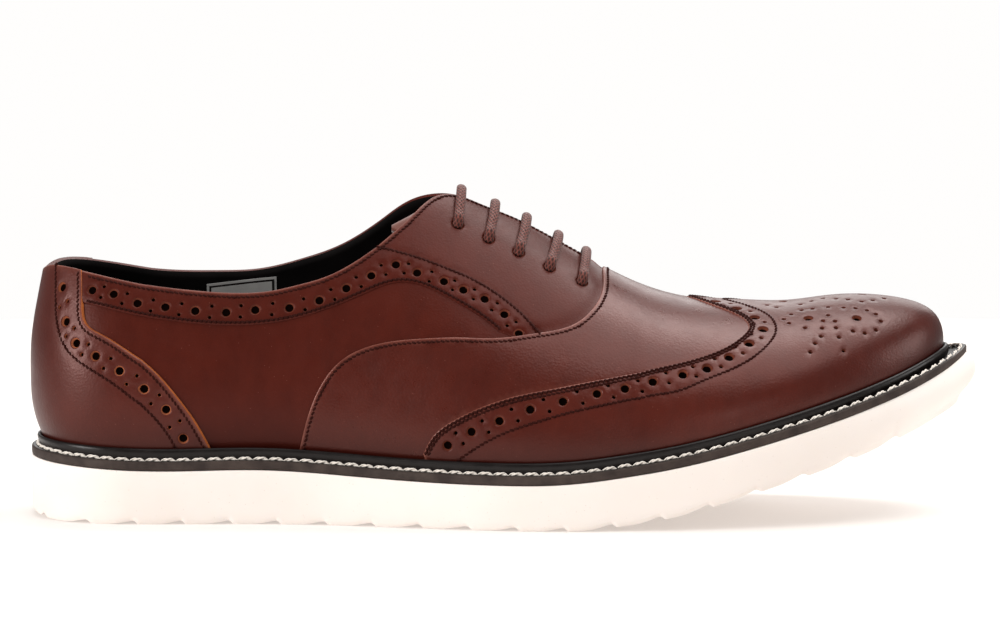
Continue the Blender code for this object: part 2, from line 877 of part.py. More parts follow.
def make_welt(mat, collection):
    """Storm welt: a groove for the stitches and a lip raised against the upper."""
    points, outward, stations, sides = rim_loop()
    width = ledge(points[:, 0])
    rings = []
    for inset, height in zip(WELT_EDGE["inset"], WELT_EDGE["height"]):
        ring = points + outward * (width - inset)[:, None]
        ring[:, 2] = seat(ring[:, 0]) + height
        rings.append(ring)
    for above, out, drop in zip(WELT_LIP["above"], WELT_LIP["out"], WELT_LIP["drop"]):
        rings.append(lip_points(sides, stations, above) + outward * out - (0, 0, drop))
    for height in (WELT_THICK - 2 * GAP, GAP):
        ring = points - outward * WELT_REACH
        ring[:, 2] = seat(points[:, 0]) + height
        rings.append(ring)
    bm = bmesh.new()
    verts = [[bm.verts.new(p) for p in ring] for ring in placed(np.array(rings))]
    count = len(points)
    for a, b in zip(verts, verts[1:] + verts[:1]):
        for j in range(count):
            k = (j + 1) % count
            bm.faces.new((a[j], a[k], b[k], b[j]))
    obj = add_object("welt", bm, mat, collection)
    obj.data.shade_smooth()
    return obj


def lip_points(sides, stations, height):
    """Points of the last at a height over the feather edge."""
    ease = np.clip(stations - BALL, 0, 90) / 90
    ease = ease * ease * (3 - 2 * ease)
    widest = bulge(np.clip(stations, HEEL, BALL)) * (1 - ease) + TOE_BULGE * ease
    return section(sides, stations, np.minimum(height / widest, 1.0) - 1)


def make_insole(mat, collection):
    """Insole: strips from side to side inside the feather edge."""
    points, outward, _, _ = rim_loop()
    inner = points - outward * INSOLE_INSET
    inner[:, 2] = seat(inner[:, 0]) + GAP
    count = len(inner)
    rows = [np.stack([inner[k], (inner[k] + inner[-k]) / 2, inner[-k]]) for k in range(1, count // 2, 2)]
    return shell("insole", np.array(rows), INSOLE_THICK, mat, collection)


def main():
    clear_scene()
    parts = new_collection("brogue_shoe")
    cutters = new_collection("cutters")
    leather = material("leather_brown", (0.13, 0.035, 0.022), 0.38)
    cap_leather = material("leather_cap", (0.11, 0.028, 0.018), 0.36)
    facing_leather = material("leather_facing", (0.14, 0.04, 0.026), 0.40)
    counter_leather = material("leather_counter", (0.12, 0.032, 0.02), 0.38)
    vamp_leather = material("leather_vamp", (0.15, 0.045, 0.03), 0.37)
    tongue_leather = material("leather_tongue", (0.14, 0.04, 0.03), 0.45)
    insole_lining = material("insole_lining", (0.02, 0.02, 0.02), 0.7)
    welt_black = material("welt_black", (0.025, 0.024, 0.024), 0.45)
    foam = material("sole_cream", (0.85, 0.79, 0.72), 0.6)
    waxed = material("lace_brown", (0.15, 0.06, 0.05), 0.6)
    make_outsole(foam, parts, cutters)
    make_welt(welt_black, parts)
    make_insole(insole_lining, parts)
    upper = make_upper(leather, parts)
    make_vamp(vamp_leather, parts)
    make_wing_cap(cap_leather, parts)
    make_counter(counter_leather, parts)
    facings = [make_facing("facing_lateral", LATERAL, facing_leather, parts),
               make_facing("facing_medial", MEDIAL, facing_leather, parts)]
    punches = make_eyelet_cutters(cutters)
    for obj in (upper, *facings):
        boolean(obj, punches)
    make_tongue(tongue_leather, parts)
    make_lace_bars(waxed, parts)


main()
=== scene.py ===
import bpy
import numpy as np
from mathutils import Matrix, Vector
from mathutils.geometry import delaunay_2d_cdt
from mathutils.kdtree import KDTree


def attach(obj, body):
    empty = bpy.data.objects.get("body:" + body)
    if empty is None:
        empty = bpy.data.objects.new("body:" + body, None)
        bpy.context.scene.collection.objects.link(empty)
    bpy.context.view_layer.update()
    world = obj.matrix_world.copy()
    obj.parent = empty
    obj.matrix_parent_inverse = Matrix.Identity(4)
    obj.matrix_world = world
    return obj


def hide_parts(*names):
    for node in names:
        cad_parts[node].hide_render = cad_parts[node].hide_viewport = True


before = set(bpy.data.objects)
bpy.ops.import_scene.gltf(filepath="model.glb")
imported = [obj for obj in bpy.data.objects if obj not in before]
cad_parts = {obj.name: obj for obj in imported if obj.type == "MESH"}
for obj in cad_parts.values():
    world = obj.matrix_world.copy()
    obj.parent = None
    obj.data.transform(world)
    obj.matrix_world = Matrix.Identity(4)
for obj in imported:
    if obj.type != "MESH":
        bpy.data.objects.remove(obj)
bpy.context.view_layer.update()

# Looks of a men's wingtip brogue shoe: smooth leather panels with punched holes and
# stitches, a storm welt with cream thread, and a cream wedge sole with ripples.
#
# Lengths are in millimetres and become metres when a mesh is made. A place on the upper is
# given as on a flat leather pattern: along, the distance from the heel's back, and girth,
# the distance from the ridge of the instep down the side, negative on the lateral side.

MM = 0.001
TINY = 1e-9
LATERAL = -1.0
MEDIAL = 1.0

# Driving sizes of the last and the sole
CENTRE_ALONG = 153.1
CENTRE_ACROSS = -2.0
HEEL = 38.0
BALL = 196.0
HEEL_WRAP = 56.0
HEEL_BACK = HEEL - HEEL_WRAP
TOE_TIP = 295.6
TOE_DRIFT = 6.0
TOE_TUCK = 0.9
TOE_BULGE = 4.0
TOE_SIDE = 0.72
TOE_TOP = 0.80
TOE_POWER_LATERAL = 1.86
TOE_POWER_MEDIAL = 2.12
HEEL_POWER = 2.25
WELT_THICK = 3.4
LEDGE = 5.0
TOE_LEDGE = 3.4
NOSE_REACH = 3.2
THROAT_END = 185.0

# Layers of the upper, as distances outside the last
CAP_FACE = 0.0
VAMP_FACE = -0.55
FACING_FACE = -0.6
QUARTER_FACE = -1.45
FOLD_FACE = -2.1
LINING_FACE = -3.3
TONGUE_FACE = -4.0
TONGUE_BACK = -5.8


def table(text):
    """Read a small table whose first line names its columns."""
    lines = [line.split() for line in text.strip().splitlines()]
    rows = np.array([[float(v) for v in line] for line in lines[1:]])
    return {name: rows[:, i] for i, name in enumerate(lines[0])}


def spline(xs, ys, start=None, end=None):
    """Smooth curve through the points, natural at an end whose slope isn't given."""
    n = len(xs)
    h = np.diff(xs)
    d = np.diff(ys) / h
    a = np.zeros((n, n))
    b = np.zeros(n)
    for i in range(1, n - 1):
        a[i, i - 1:i + 2] = h[i], 2 * (h[i - 1] + h[i]), h[i - 1]
        b[i] = 3 * (h[i] * d[i - 1] + h[i - 1] * d[i])
    a[0, :2] = (2, 1) if start is None else (1, 0)
    b[0] = 3 * d[0] if start is None else start
    a[-1, -2:] = (1, 2) if end is None else (0, 1)
    b[-1] = 3 * d[-1] if end is None else end
    slope = np.linalg.solve(a, b)

    def at(x):
        x = np.clip(x, xs[0], xs[-1])
        i = np.clip(np.searchsorted(xs, x) - 1, 0, n - 2)
        t = (x - xs[i]) / h[i]
        return ((1 + 2 * t) * (1 - t) ** 2 * ys[i] + t * (1 - t) ** 2 * h[i] * slope[i]
                + t * t * (3 - 2 * t) * ys[i + 1] + t * t * (t - 1) * h[i] * slope[i + 1])
    return at


# Top of the sole and the level its ripples touch
PROFILE = table("""
along  seat  tread
0      19.4  1.8
8      18.6  0.4
16     18.0  0.0
45     16.8  0.0
74     17.2  0.0
110    15.4  0.0
150    14.2  0.0
172    14.7  0.0
190    16.8  1.6
208    19.9  4.8
232    25.7  11.4
258    33.1  19.3
285    42.5  29.0
305    51.6  37.6
""")

# Half widths of the upper, its tuck at the feather edge, the height of its widest point,
# and how full the side and the top of each section are
SECTIONS = table("""
along  lateral  medial  tuck_lateral  tuck_medial  bulge  side  top   centre
38     35.0     34.5    2.6           2.8          19.0   0.50  0.45  0.0
62     35.0     34.0    3.0           3.6          18.0   0.50  0.42  0.0
86     36.0     33.0    3.4           5.0          17.0   0.50  0.40  0.0
110    40.5     33.5    3.2           6.5          15.0   0.47  0.32  0.5
140    48.5     38.0    2.4           6.5          12.0   0.44  0.24  1.0
165    52.5     44.0    1.8           4.0          9.5    0.44  0.24  1.0
182    52.6     47.5    1.6           2.4          8.0    0.50  0.34  1.0
196    51.6     49.0    1.5           1.8          7.0    0.54  0.44  1.0
""")

# Height of the ridge over the welt
RIDGE = table("""
along  height
38     78.0
80     84.0
110    88.5
125    88.8
137    86.6
147    82.6
158    78.0
168    72.3
178    65.7
187    59.3
196    53.6
206    48.4
216    44.6
230    40.5
245    37.2
258    36.4
268    35.4
280    33.4
296    30.0
""")

# Back of the heel over the welt
BACK = table("""
height  along
0       5.4
5       3.0
12      0.9
22      0.2
34      0.5
46      2.3
60      5.0
90      11.0
""")

# Edge of the collar and of the facings
TOPLINE = table("""
along  lateral  medial
-18    21.5     21.5
-4     23.0     22.5
14     28.4     27.0
28     33.0     31.0
43     36.8     34.2
60     40.8     36.5
72     42.9     37.5
80     43.2     36.6
88     42.3     34.6
96     40.7     31.8
103    37.7     28.0
109    33.8     23.5
114    29.6     19.0
118    25.5     15.0
122    20.8     11.4
126    14.9     8.6
130    9.2      6.4
134    5.4      4.6
139    3.2      3.0
146    2.4      2.4
185    2.4      2.4
""")

# Edge of the vamp where it laps over the quarters, from the throat down to the welt
SEAM = table("""
along  girth
185.6  0.0
185.3  9.0
185.0  19.0
183.0  29.0
180.0  36.0
176.0  42.0
170.0  47.2
163.0  51.5
155.0  55.9
145.0  59.6
130.0  63.2
118.0  64.2
109.0  65.6
101.0  69.2
95.0   76.0
91.0   85.0
88.0   97.0
""")

# Edge of the wing cap, from its peak on the ridge down to the welt
WING = table("""
along  girth
213.0  0.0
218.0  8.0
225.0  15.6
230.5  22.2
232.1  27.4
230.6  32.0
226.9  37.4
219.0  43.8
208.0  49.4
195.0  54.6
178.5  63.6
161.0  73.4
146.5  82.0
136.5  89.4
130.5  95.0
127.5  101.0
""")

# Front edge of the heel counter, from the collar down to the welt
COUNTER = table("""
along  girth
16.8   29.2
18.6   39.0
21.0   48.0
28.0   53.2
36.7   59.7
43.0   65.8
49.0   73.4
55.0   82.6
60.0   93.0
""")

# Lower edge of the brogued collar band, to where it meets the vamp
BAND = table("""
along  girth
20.6   41.2
32.0   44.8
46.0   48.4
62.0   52.0
74.0   53.6
86.0   53.4
98.0   51.0
109.0  47.2
119.5  44.0
128.0  45.2
137.0  48.6
146.0  51.6
152.0  55.2
""")

EYELETS = table("""
along  girth
138.4  18.8
148.2  19.9
157.8  21.0
167.6  22.0
178.0  22.4
""")

seat = spline(PROFILE["along"], PROFILE["seat"])
tread = spline(PROFILE["along"], PROFILE["tread"])
ridge = spline(RIDGE["along"], RIDGE["height"])
back = spline(BACK["height"], BACK["along"])


def section_curve(name, start=None, end=None):
    return spline(SECTIONS["along"], SECTIONS[name], start, end)


half_lateral = section_curve("lateral", 0.0, -0.02)
half_medial = section_curve("medial", 0.0, 0.03)
tuck_lateral = section_curve("tuck_lateral", 0.0)
tuck_medial = section_curve("tuck_medial", 0.0)
bulge = section_curve("bulge")
side_fullness = section_curve("side")
top_fullness = section_curve("top")
centre = section_curve("centre")


def welt_top(x):
    return seat(x) + WELT_THICK


def toe_share(x):
    """How far forward a place is between BALL and the toe tip."""
    return np.clip((x - BALL) / (TOE_TIP - BALL), 0, 1)


def quarter_arch(t, side, top):
    """Shares of the half width and of the height from the widest point to the ridge."""
    r = 1 - t
    across = r ** 3 + 3 * r * r * t + 3 * r * t * t * top
    up = 3 * r * r * t * side + 3 * r * t * t + t ** 3
    return across, up


def section(side, u, t):
    """Point of the last at station u; t runs from the feather edge -1 to the ridge 1.

    Stations past BALL are degrees of the turn round the toe, and those before HEEL are
    degrees of the turn round the heel.
    """
    side, u, t = np.broadcast_arrays(side, u, t)
    lateral = side < 0
    x = np.clip(u, HEEL, BALL)
    turn = np.radians(np.clip(u - BALL, 0, 90))
    share = np.clip(u - BALL, 0, 90) / 90
    ease = share * share * (3 - 2 * share)
    widest = bulge(x) * (1 - ease) + TOE_BULGE * ease
    across, up = quarter_arch(np.clip(t, 0, 1),
                              side_fullness(x) * (1 - ease) + TOE_SIDE * ease,
                              top_fullness(x) * (1 - ease) + TOE_TOP * ease)
    half = np.where(lateral, half_lateral(x), half_medial(x))
    tuck = np.where(lateral, tuck_lateral(x), tuck_medial(x))
    tuck = tuck * (1 - ease) + TOE_TUCK * ease
    power = np.where(lateral, TOE_POWER_LATERAL, TOE_POWER_MEDIAL)
    reach = np.sin(turn) ** (2 / power)
    spread = np.maximum(np.cos(turn), 0) ** (2 / power)
    edge_x = x + (TOE_TIP - BALL) * reach
    edge_y = side * half * spread + TOE_DRIFT * reach ** 2
    middle = centre(x)
    out_x = edge_x - x
    out_y = edge_y - middle
    size = np.hypot(out_x, out_y)
    low = t < 0
    rise = np.clip(1 + t, 0, 1)
    inward = tuck * (1 - rise) ** 2 / size
    px = np.where(low, edge_x - out_x * inward, x + out_x * across)
    py = np.where(low, edge_y - out_y * inward, middle + out_y * across)
    top = ridge(np.where(u > BALL, px, x))
    height = np.where(low, widest * rise, widest + (top - widest) * up)
    wrap = np.radians(np.clip(HEEL - u, 0, 90))
    round_x = HEEL - (HEEL - back(height)) * np.sin(wrap) ** (2 / HEEL_POWER)
    round_y = py * np.maximum(np.cos(wrap), 0) ** (2 / HEEL_POWER)
    px = np.where(u < HEEL, round_x, px)
    py = np.where(u < HEEL, round_y, py)
    return np.stack([px, py, welt_top(px) + height], -1)


STEPS = 1 - 2 * np.linspace(0, 1, 121)


def girths(side, u):
    """Girth from the ridge at each of STEPS down one column of the last."""
    points = section(np.asarray(side)[..., None], np.asarray(u)[..., None], STEPS)
    lengths = np.cumsum(np.linalg.norm(np.diff(points, axis=-2), axis=-1), -1)
    return np.concatenate([np.zeros(lengths.shape[:-1] + (1,)), lengths], -1)


def station(side, along, girth):
    """Station of the column that holds a place of the pattern."""
    half = np.where(side < 0, half_lateral(BALL), half_medial(BALL))
    power = np.where(side < 0, TOE_POWER_LATERAL, TOE_POWER_MEDIAL)
    slant = np.maximum(along - BALL, 0) / np.maximum(girth, 1e-6)
    turn = np.degrees(np.arctan((half / (TOE_TIP - BALL) * slant) ** (power / 2)))
    wrap = np.clip((HEEL - along) / HEEL_WRAP, 0, 1) * 90
    return np.where(along > BALL, BALL + turn, np.where(along < HEEL, HEEL - wrap, along))




# Quick way to places of the last: how far down a column each girth lies

TABLE_STATIONS = np.arange(HEEL - 90, BALL + 90.4, 0.5)
TABLE_GIRTHS = np.arange(0, 130, 0.25)


def tabulate(side):
    lengths = girths(side, TABLE_STATIONS)
    return np.array([np.interp(TABLE_GIRTHS, row, STEPS) for row in lengths])


DOWN = {LATERAL: tabulate(LATERAL), MEDIAL: tabulate(MEDIAL)}


def skin(along, girth):
    """Points of the last at places of the pattern."""
    along, girth = np.broadcast_arrays(np.asarray(along, float), np.asarray(girth, float))
    side = np.where(girth < 0, LATERAL, MEDIAL)
    depth = np.abs(girth)
    u = station(side, along, depth)
    down = np.where(along > BALL, np.hypot(along - BALL, depth), depth)
    row = np.clip((u - TABLE_STATIONS[0]) / 0.5, 0, len(TABLE_STATIONS) - 1.001)
    column = np.clip(down / 0.25, 0, len(TABLE_GIRTHS) - 1.001)
    i = row.astype(int)
    j = column.astype(int)
    f = row - i
    g = column - j

    def read(steps):
        low = steps[i, j] * (1 - g) + steps[i, j + 1] * g
        high = steps[i + 1, j] * (1 - g) + steps[i + 1, j + 1] * g
        return low * (1 - f) + high * f
    return section(side, u, np.where(side < 0, read(DOWN[LATERAL]), read(DOWN[MEDIAL])))


def normals(along, girth, step=0.4):
    """Outward directions of the last at places of the pattern."""
    forward = skin(along + step, girth) - skin(along - step, girth)
    across = skin(along, girth + step) - skin(along, girth - step)
    n = np.cross(forward, across)
    n[..., 1] = np.where(along <= HEEL_BACK, 0, n[..., 1])
    return n / np.maximum(np.linalg.norm(n, axis=-1, keepdims=True), TINY)


def layer(places, offset):
    """Points at a distance outside the last, for an array of (along, girth) places."""
    along = places[..., 0]
    girth = places[..., 1]
    return skin(along, girth) + np.asarray(offset)[..., None] * normals(along, girth)


def feather(side, along):
    """Girth at the feather edge beside a place before BALL."""
    along = np.asarray(along, float)
    return girths(side, station(side, along, np.ones_like(along)))[..., -1]


EDGE_ALONG = np.arange(HEEL_BACK, BALL + 1.0, 2.0)
EDGE_GIRTH = {side: feather(side, EDGE_ALONG) for side in (LATERAL, MEDIAL)}


def edge_girth(sides, along):
    """Girth at the feather edge, read from a short table for many places."""
    lateral = np.interp(along, EDGE_ALONG, EDGE_GIRTH[LATERAL])
    return np.where(sides < 0, lateral, np.interp(along, EDGE_ALONG, EDGE_GIRTH[MEDIAL]))


def toe_feather(side, angle):
    """Place on the feather edge at an angle of the pattern's fan, 0 at the side."""
    ray = np.array([np.sin(angle), np.cos(angle)])
    u = station(side, BALL + ray[0], max(ray[1], 1e-6))
    depth = girths(side, u)[..., -1]
    return np.array([BALL + depth * ray[0], side * depth * ray[1]])


def on_side(side, places):
    """Places read on the lateral side, moved to either side and scaled to its own girth."""
    places = np.asarray(places, float)
    along = np.clip(places[:, 0], HEEL_BACK, BALL)
    scale = 1.0 if side < 0 else feather(MEDIAL, along) / feather(LATERAL, along)
    return np.stack([places[:, 0], side * places[:, 1] * scale], -1)


def topline_girth(side, along):
    name = "lateral" if side < 0 else "medial"
    return spline(TOPLINE["along"], TOPLINE[name])(along)


def resample(points, count):
    """Evenly spaced points along a smooth curve through the given points."""
    points = np.asarray(points, float)
    steps = np.r_[0, np.cumsum(np.linalg.norm(np.diff(points, axis=0), axis=1))]
    curves = [spline(steps, points[:, i]) for i in range(points.shape[1])]
    fine = np.linspace(0, steps[-1], 8 * count)
    dense = np.stack([c(fine) for c in curves], -1)
    length = np.r_[0, np.cumsum(np.linalg.norm(np.diff(dense, axis=0), axis=1))]
    wanted = np.linspace(0, length[-1], count)
    return np.stack([np.interp(wanted, length, dense[:, i]) for i in range(points.shape[1])], -1)


def smooth_line(points, spacing=1.0):
    points = np.asarray(points, float)
    length = np.linalg.norm(np.diff(points, axis=0), axis=1).sum()
    return resample(points, max(int(length / spacing), 4))


def columns(rows):
    return np.stack(list(rows.values()), -1)


# Meshes

def placed(points):
    """Move points of the pattern's frame to the shoe's own origin, in metres."""
    return (np.asarray(points, float) - (CENTRE_ALONG, CENTRE_ACROSS, 0)) * MM


def add_piece(name, points, faces, mats, slots=None, smooth=True, values=None):
    """Mesh object that rides on the shoe; values holds named numbers for each vertex."""
    mesh = bpy.data.meshes.new(name)
    mesh.from_pydata(placed(points).tolist(), [], [tuple(int(i) for i in f) for f in faces])
    for mat in mats:
        mesh.materials.append(mat)
    if slots is not None:
        mesh.polygons.foreach_set("material_index", np.asarray(slots, np.int32))
    for key, numbers in (values or {}).items():
        layer_data = mesh.attributes.new(key, "FLOAT", "POINT")
        layer_data.data.foreach_set("value", np.asarray(numbers, np.float32))
    mesh.validate()
    if smooth:
        mesh.shade_smooth()
    obj = bpy.data.objects.new(name, mesh)
    bpy.context.scene.collection.objects.link(obj)
    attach(obj, "root")
    return obj


def grid_faces(rows, cols, closed=False):
    """Quads over a grid of points stored row by row."""
    faces = []
    for i in range(rows - 1):
        for j in range(cols if closed else cols - 1):
            k = (j + 1) % cols
            faces.append((i * cols + j, i * cols + k, (i + 1) * cols + k, (i + 1) * cols + j))
    return faces


class Parts:
    """Collects points and faces of many small shapes for one mesh."""

    def __init__(self):
        self.points = []
        self.faces = []
        self.slots = []
        self.count = 0

    def add(self, points, faces, slot=0):
        self.points.append(points)
        self.faces += [tuple(i + self.count for i in face) for face in faces]
        self.slots += [slot] * len(faces)
        self.count += len(points)

    def piece(self, name, mats):
        return add_piece(name, np.concatenate(self.points), self.faces, mats, self.slots)


def frame_vectors(route):
    """Directions along a route."""
    ahead = np.gradient(route, axis=0)
    ahead /= np.linalg.norm(ahead, axis=1, keepdims=True)
    return ahead


def tube_points(route, up, radii, sides, flat=1.0):
    """Rings of points round a route, flattened along its up directions if asked."""
    ahead = frame_vectors(route)
    across = np.cross(ahead, up)
    across /= np.linalg.norm(across, axis=1, keepdims=True)
    rise = np.cross(across, ahead)
    turn = np.linspace(0, 2 * np.pi, sides, endpoint=False)
    radii = np.broadcast_to(radii, (len(route), sides)) if np.ndim(radii) == 2 else \
        np.broadcast_to(np.asarray(radii)[..., None], (len(route), sides))
    return (route[:, None] + across[:, None] * (np.cos(turn) * radii)[..., None]
            + rise[:, None] * (np.sin(turn) * radii * flat)[..., None]).reshape(-1, 3)


def tube_faces(rings, sides):
    faces = grid_faces(rings, sides, closed=True)
    faces.append(tuple(range(sides)))
    faces.append(tuple(range((rings - 1) * sides, rings * sides))[::-1])
    return faces


# Panels of leather: a sheet on the last with punched holes and rolled edges

class Domain:
    """How a panel's own flat coordinates become places of the pattern."""

    @staticmethod
    def flat(points):
        return points

    @staticmethod
    def heel(points):
        """First coordinate: distance from the heel's back, negative on the lateral side."""
        side = np.where(points[..., 0] < 0, LATERAL, MEDIAL)
        return np.stack([np.abs(points[..., 0]) + HEEL_BACK, side * points[..., 1]], -1)


def metric(domain, centre):
    """Matrix that turns a length on the leather into one in a panel's coordinates."""
    step = 0.3
    arms = []
    for k in range(2):
        ends = np.array([centre, centre], float)
        ends[0, k] -= step
        ends[1, k] += step
        low, high = layer(domain(ends), 0.0)
        arms.append((high - low) / (2 * step))
    arms = np.array(arms)
    values, vectors = np.linalg.eigh(arms @ arms.T)
    return vectors @ np.diag(values ** -0.5) @ vectors.T


def ring(centre, radius, count, lengths):
    turn = np.linspace(0, 2 * np.pi, count, endpoint=False)
    circle = np.stack([np.cos(turn), np.sin(turn)], -1)
    return np.asarray(centre) + radius * circle @ lengths


def inset(loop, distance):
    """Loop moved to its inner side; the loop runs anticlockwise."""
    ahead = np.roll(loop, -1, 0) - np.roll(loop, 1, 0)
    inner = np.stack([-ahead[:, 1], ahead[:, 0]], -1)
    inner /= np.maximum(np.linalg.norm(inner, axis=1, keepdims=True), 1e-9)
    return loop + inner * distance


def anticlockwise(loop):
    area = np.sum(loop[:, 0] * np.roll(loop[:, 1], -1) - np.roll(loop[:, 0], -1) * loop[:, 1])
    return loop if area > 0 else loop[::-1]


def inside(points, loop):
    """Whether points lie in a closed loop."""
    result = np.zeros(len(points), bool)
    a = loop
    b = np.roll(loop, -1, 0)
    for (ax, ay), (bx, by) in zip(a, b):
        if ay == by:
            continue
        crosses = (points[:, 1] > min(ay, by)) & (points[:, 1] <= max(ay, by))
        at = ax + (points[:, 1] - ay) * (bx - ax) / (by - ay)
        result ^= crosses & (points[:, 0] < at)
    return result


def nearest(points, others):
    """Distance from each point to the nearest of the others."""
    tree = KDTree(len(others))
    for k, p in enumerate(others):
        tree.insert((p[0], p[1], 0.0), k)
    tree.balance()
    return np.array([tree.find((p[0], p[1], 0.0))[2] for p in points])


EDGE_RINGS = ((0.0, 0.30), (0.22, 0.07), (0.6, 0.0))
SOFT_RINGS = ((0.0, 0.42), (0.3, 0.16), (0.8, 0.0))
HOLE_RINGS = ((0.0, 0.20), (0.12, 0.06), (0.3, 0.0))
HOLE_DEPTH = 0.95
HOLE_TAPER = 0.78
GROOVE_DEPTH = 0.26
GROOVE_WIDTH = 0.7


def groove(points, rows):
    """How deep the leather is pulled down along rows of stitches."""
    if not rows:
        return np.zeros(len(points))
    distance = nearest(points, np.concatenate([smooth_line(row, 0.5) for row in rows]))
    return GROOVE_DEPTH * np.exp(-(distance / GROOVE_WIDTH) ** 2)


def panel(name, loop, face, floor, mats, holes=(), rows=(), spacing=1.7, domain=Domain.flat,
          relief=None, rim=EDGE_RINGS, depth=HOLE_DEPTH, skirt=0.12,
          worn_and_highlight_line=None):
    """One leather panel.

    loop is its outline in the panel's coordinates and floor gives, for a place on the
    outline, how deep its cut edge goes. The edge leans out by skirt on its way down.
    holes are (along, girth, radius). mats are the grain side, the cut edge, the walls of
    the holes and a near-black floor in the holes, painted shade in place of the shaded
    leather under them. The line for the pale edge is where the leather is drawn paler, partly
    worn and partly a painted highlight along its rolled edge, or else the whole outline.
    """
    loop = anticlockwise(np.asarray(loop, float))
    flat_points = []
    drops = []
    owner = []
    edges = []
    count = 0

    def add_loop(points, drop, mark, tie):
        nonlocal count
        n = len(points)
        flat_points.append(points)
        drops.extend([drop] * n)
        owner.extend([mark] * n)
        if tie:
            edges.extend((count + k, count + (k + 1) % n) for k in range(n))
        count += n

    for distance, drop in rim:
        add_loop(inset(loop, distance), drop, -1 if distance == 0 else -3, True)
    punched = []
    for number, (x, y, radius) in enumerate(holes):
        sides = 16 if radius > 1 else 10
        lengths = metric(domain, (x, y))
        punched.append(ring((x, y), radius, sides, lengths))
        for wider, drop in HOLE_RINGS:
            if wider and radius < 1:
                wider *= 0.6
            add_loop(ring((x, y), radius + wider, sides, lengths), drop,
                     number if wider == 0 else -3, wider == 0)
    low = loop.min(0)
    high = loop.max(0)
    xs = np.arange(low[0], high[0], spacing)
    ys = np.arange(low[1], high[1], spacing * 0.866)
    grid = np.stack(np.meshgrid(xs, ys, indexing="ij"), -1)
    grid[:, 1::2, 0] += spacing / 2
    grid = grid.reshape(-1, 2)
    grid = grid[inside(grid, inset(loop, rim[-1][0]))]
    for hole in punched:
        grid = grid[~inside(grid, hole)]
    taken = np.concatenate(flat_points)
    grid = grid[nearest(grid, taken) > spacing * 0.55]
    flat_points.append(grid)
    drops.extend([0.0] * len(grid))
    owner.extend([-2] * len(grid))
    flat_all = np.concatenate(flat_points)
    verts, _, faces, sources, _, _ = delaunay_2d_cdt([Vector(p) for p in flat_all], edges, [], 1, 1e-5)
    flat_xy = np.array([(v[0], v[1]) for v in verts])
    first = np.array([s[0] if s else -1 for s in sources])
    owner = np.array(owner + [-3])[first]
    drop = np.array(drops + [0.0])[first]
    faces = np.array([f for f in faces if len(f) == 3])
    faces = drop_outside(faces, owner, flat_xy, loop)
    places = domain(flat_xy)
    height = face - drop - groove(flat_xy, rows)
    if relief is not None:
        height = height + relief(places)
    points = [layer(places, height)]
    slots = [0] * len(faces)
    out = [tuple(f) for f in faces]
    total = len(flat_xy)
    index = {int(s): k for k, s in enumerate(first) if s >= 0}
    start = 0
    wall_loops = [(list(range(len(loop))), None)]
    start = len(loop) * len(rim)
    for number, (x, y, radius) in enumerate(holes):
        sides = 16 if radius > 1 else 10
        wall_loops.append((list(range(start, start + sides)), number))
        start += sides * len(HOLE_RINGS)
    if worn_and_highlight_line is None:
        worn_and_highlight_line = np.vstack([loop, loop[:1]])
    edge_wear_and_highlight_values = [edge_wear_and_highlight(flat_xy, worn_and_highlight_line)]
    shade_values = [shade(places)]
    for members, number in wall_loops:
        ids = [index[m] for m in members if m in index]
        base = places[ids]
        if number is None:
            depths = floor(base) if callable(floor) else np.full(len(ids), floor)
            folded = depths == FOLD_FACE
            lean = np.where(folded, 0.0, -skirt)[:, None]
            lower = layer(domain(inset(flat_xy[ids], lean)), depths)
        else:
            middle = np.array(holes[number][:2])
            bottom = middle + HOLE_TAPER * (flat_xy[ids] - middle)
            lower = layer(domain(bottom), np.full(len(ids), face - depth))
        n = len(ids)
        top = layer(base, height[ids])
        points += [top, lower]
        for k in range(n):
            m = (k + 1) % n
            quad = (total + m, total + k, total + n + k, total + n + m)
            if number is None:
                out.append(quad)
                slots.append(0 if folded[k] and folded[m] else 1)
            else:
                out.append(quad[::-1])
                slots.append(2)
        # A near-black floor closes each hole: painted shade in place of the shaded leather under it
        if number is not None:
            out.append(tuple(total + n + k for k in range(n)))
            slots.append(3)
        edge_wear_and_highlight_values.append(np.zeros(2 * n))
        shade_values.append(np.tile(shade(base), 2))
        total += 2 * n
    points = np.concatenate(points)
    values = {"edge": np.concatenate(edge_wear_and_highlight_values), "shade": np.concatenate(shade_values)}
    obj = add_piece(name, points, out, mats, slots, values=values)
    return obj


def drop_outside(faces, owner, xy, loop):
    """Leave out triangles inside a hole or outside the outline."""
    marks = owner[faces]
    same = (marks[:, 0] == marks[:, 1]) & (marks[:, 1] == marks[:, 2]) & (marks[:, 0] >= 0)
    faces = faces[~same]
    middle = xy[faces].mean(1)
    on_rim = (owner[faces] == -1).all(1)
    keep = ~on_rim
    keep[on_rim] = inside(middle[on_rim], loop)
    faces = faces[keep]
    a, b, c = (xy[faces[:, k]] for k in range(3))
    turn = (b[:, 0] - a[:, 0]) * (c[:, 1] - a[:, 1]) - (b[:, 1] - a[:, 1]) * (c[:, 0] - a[:, 0])
    flipped = faces[:, ::-1]
    return np.where((turn > 0)[:, None], faces, flipped)


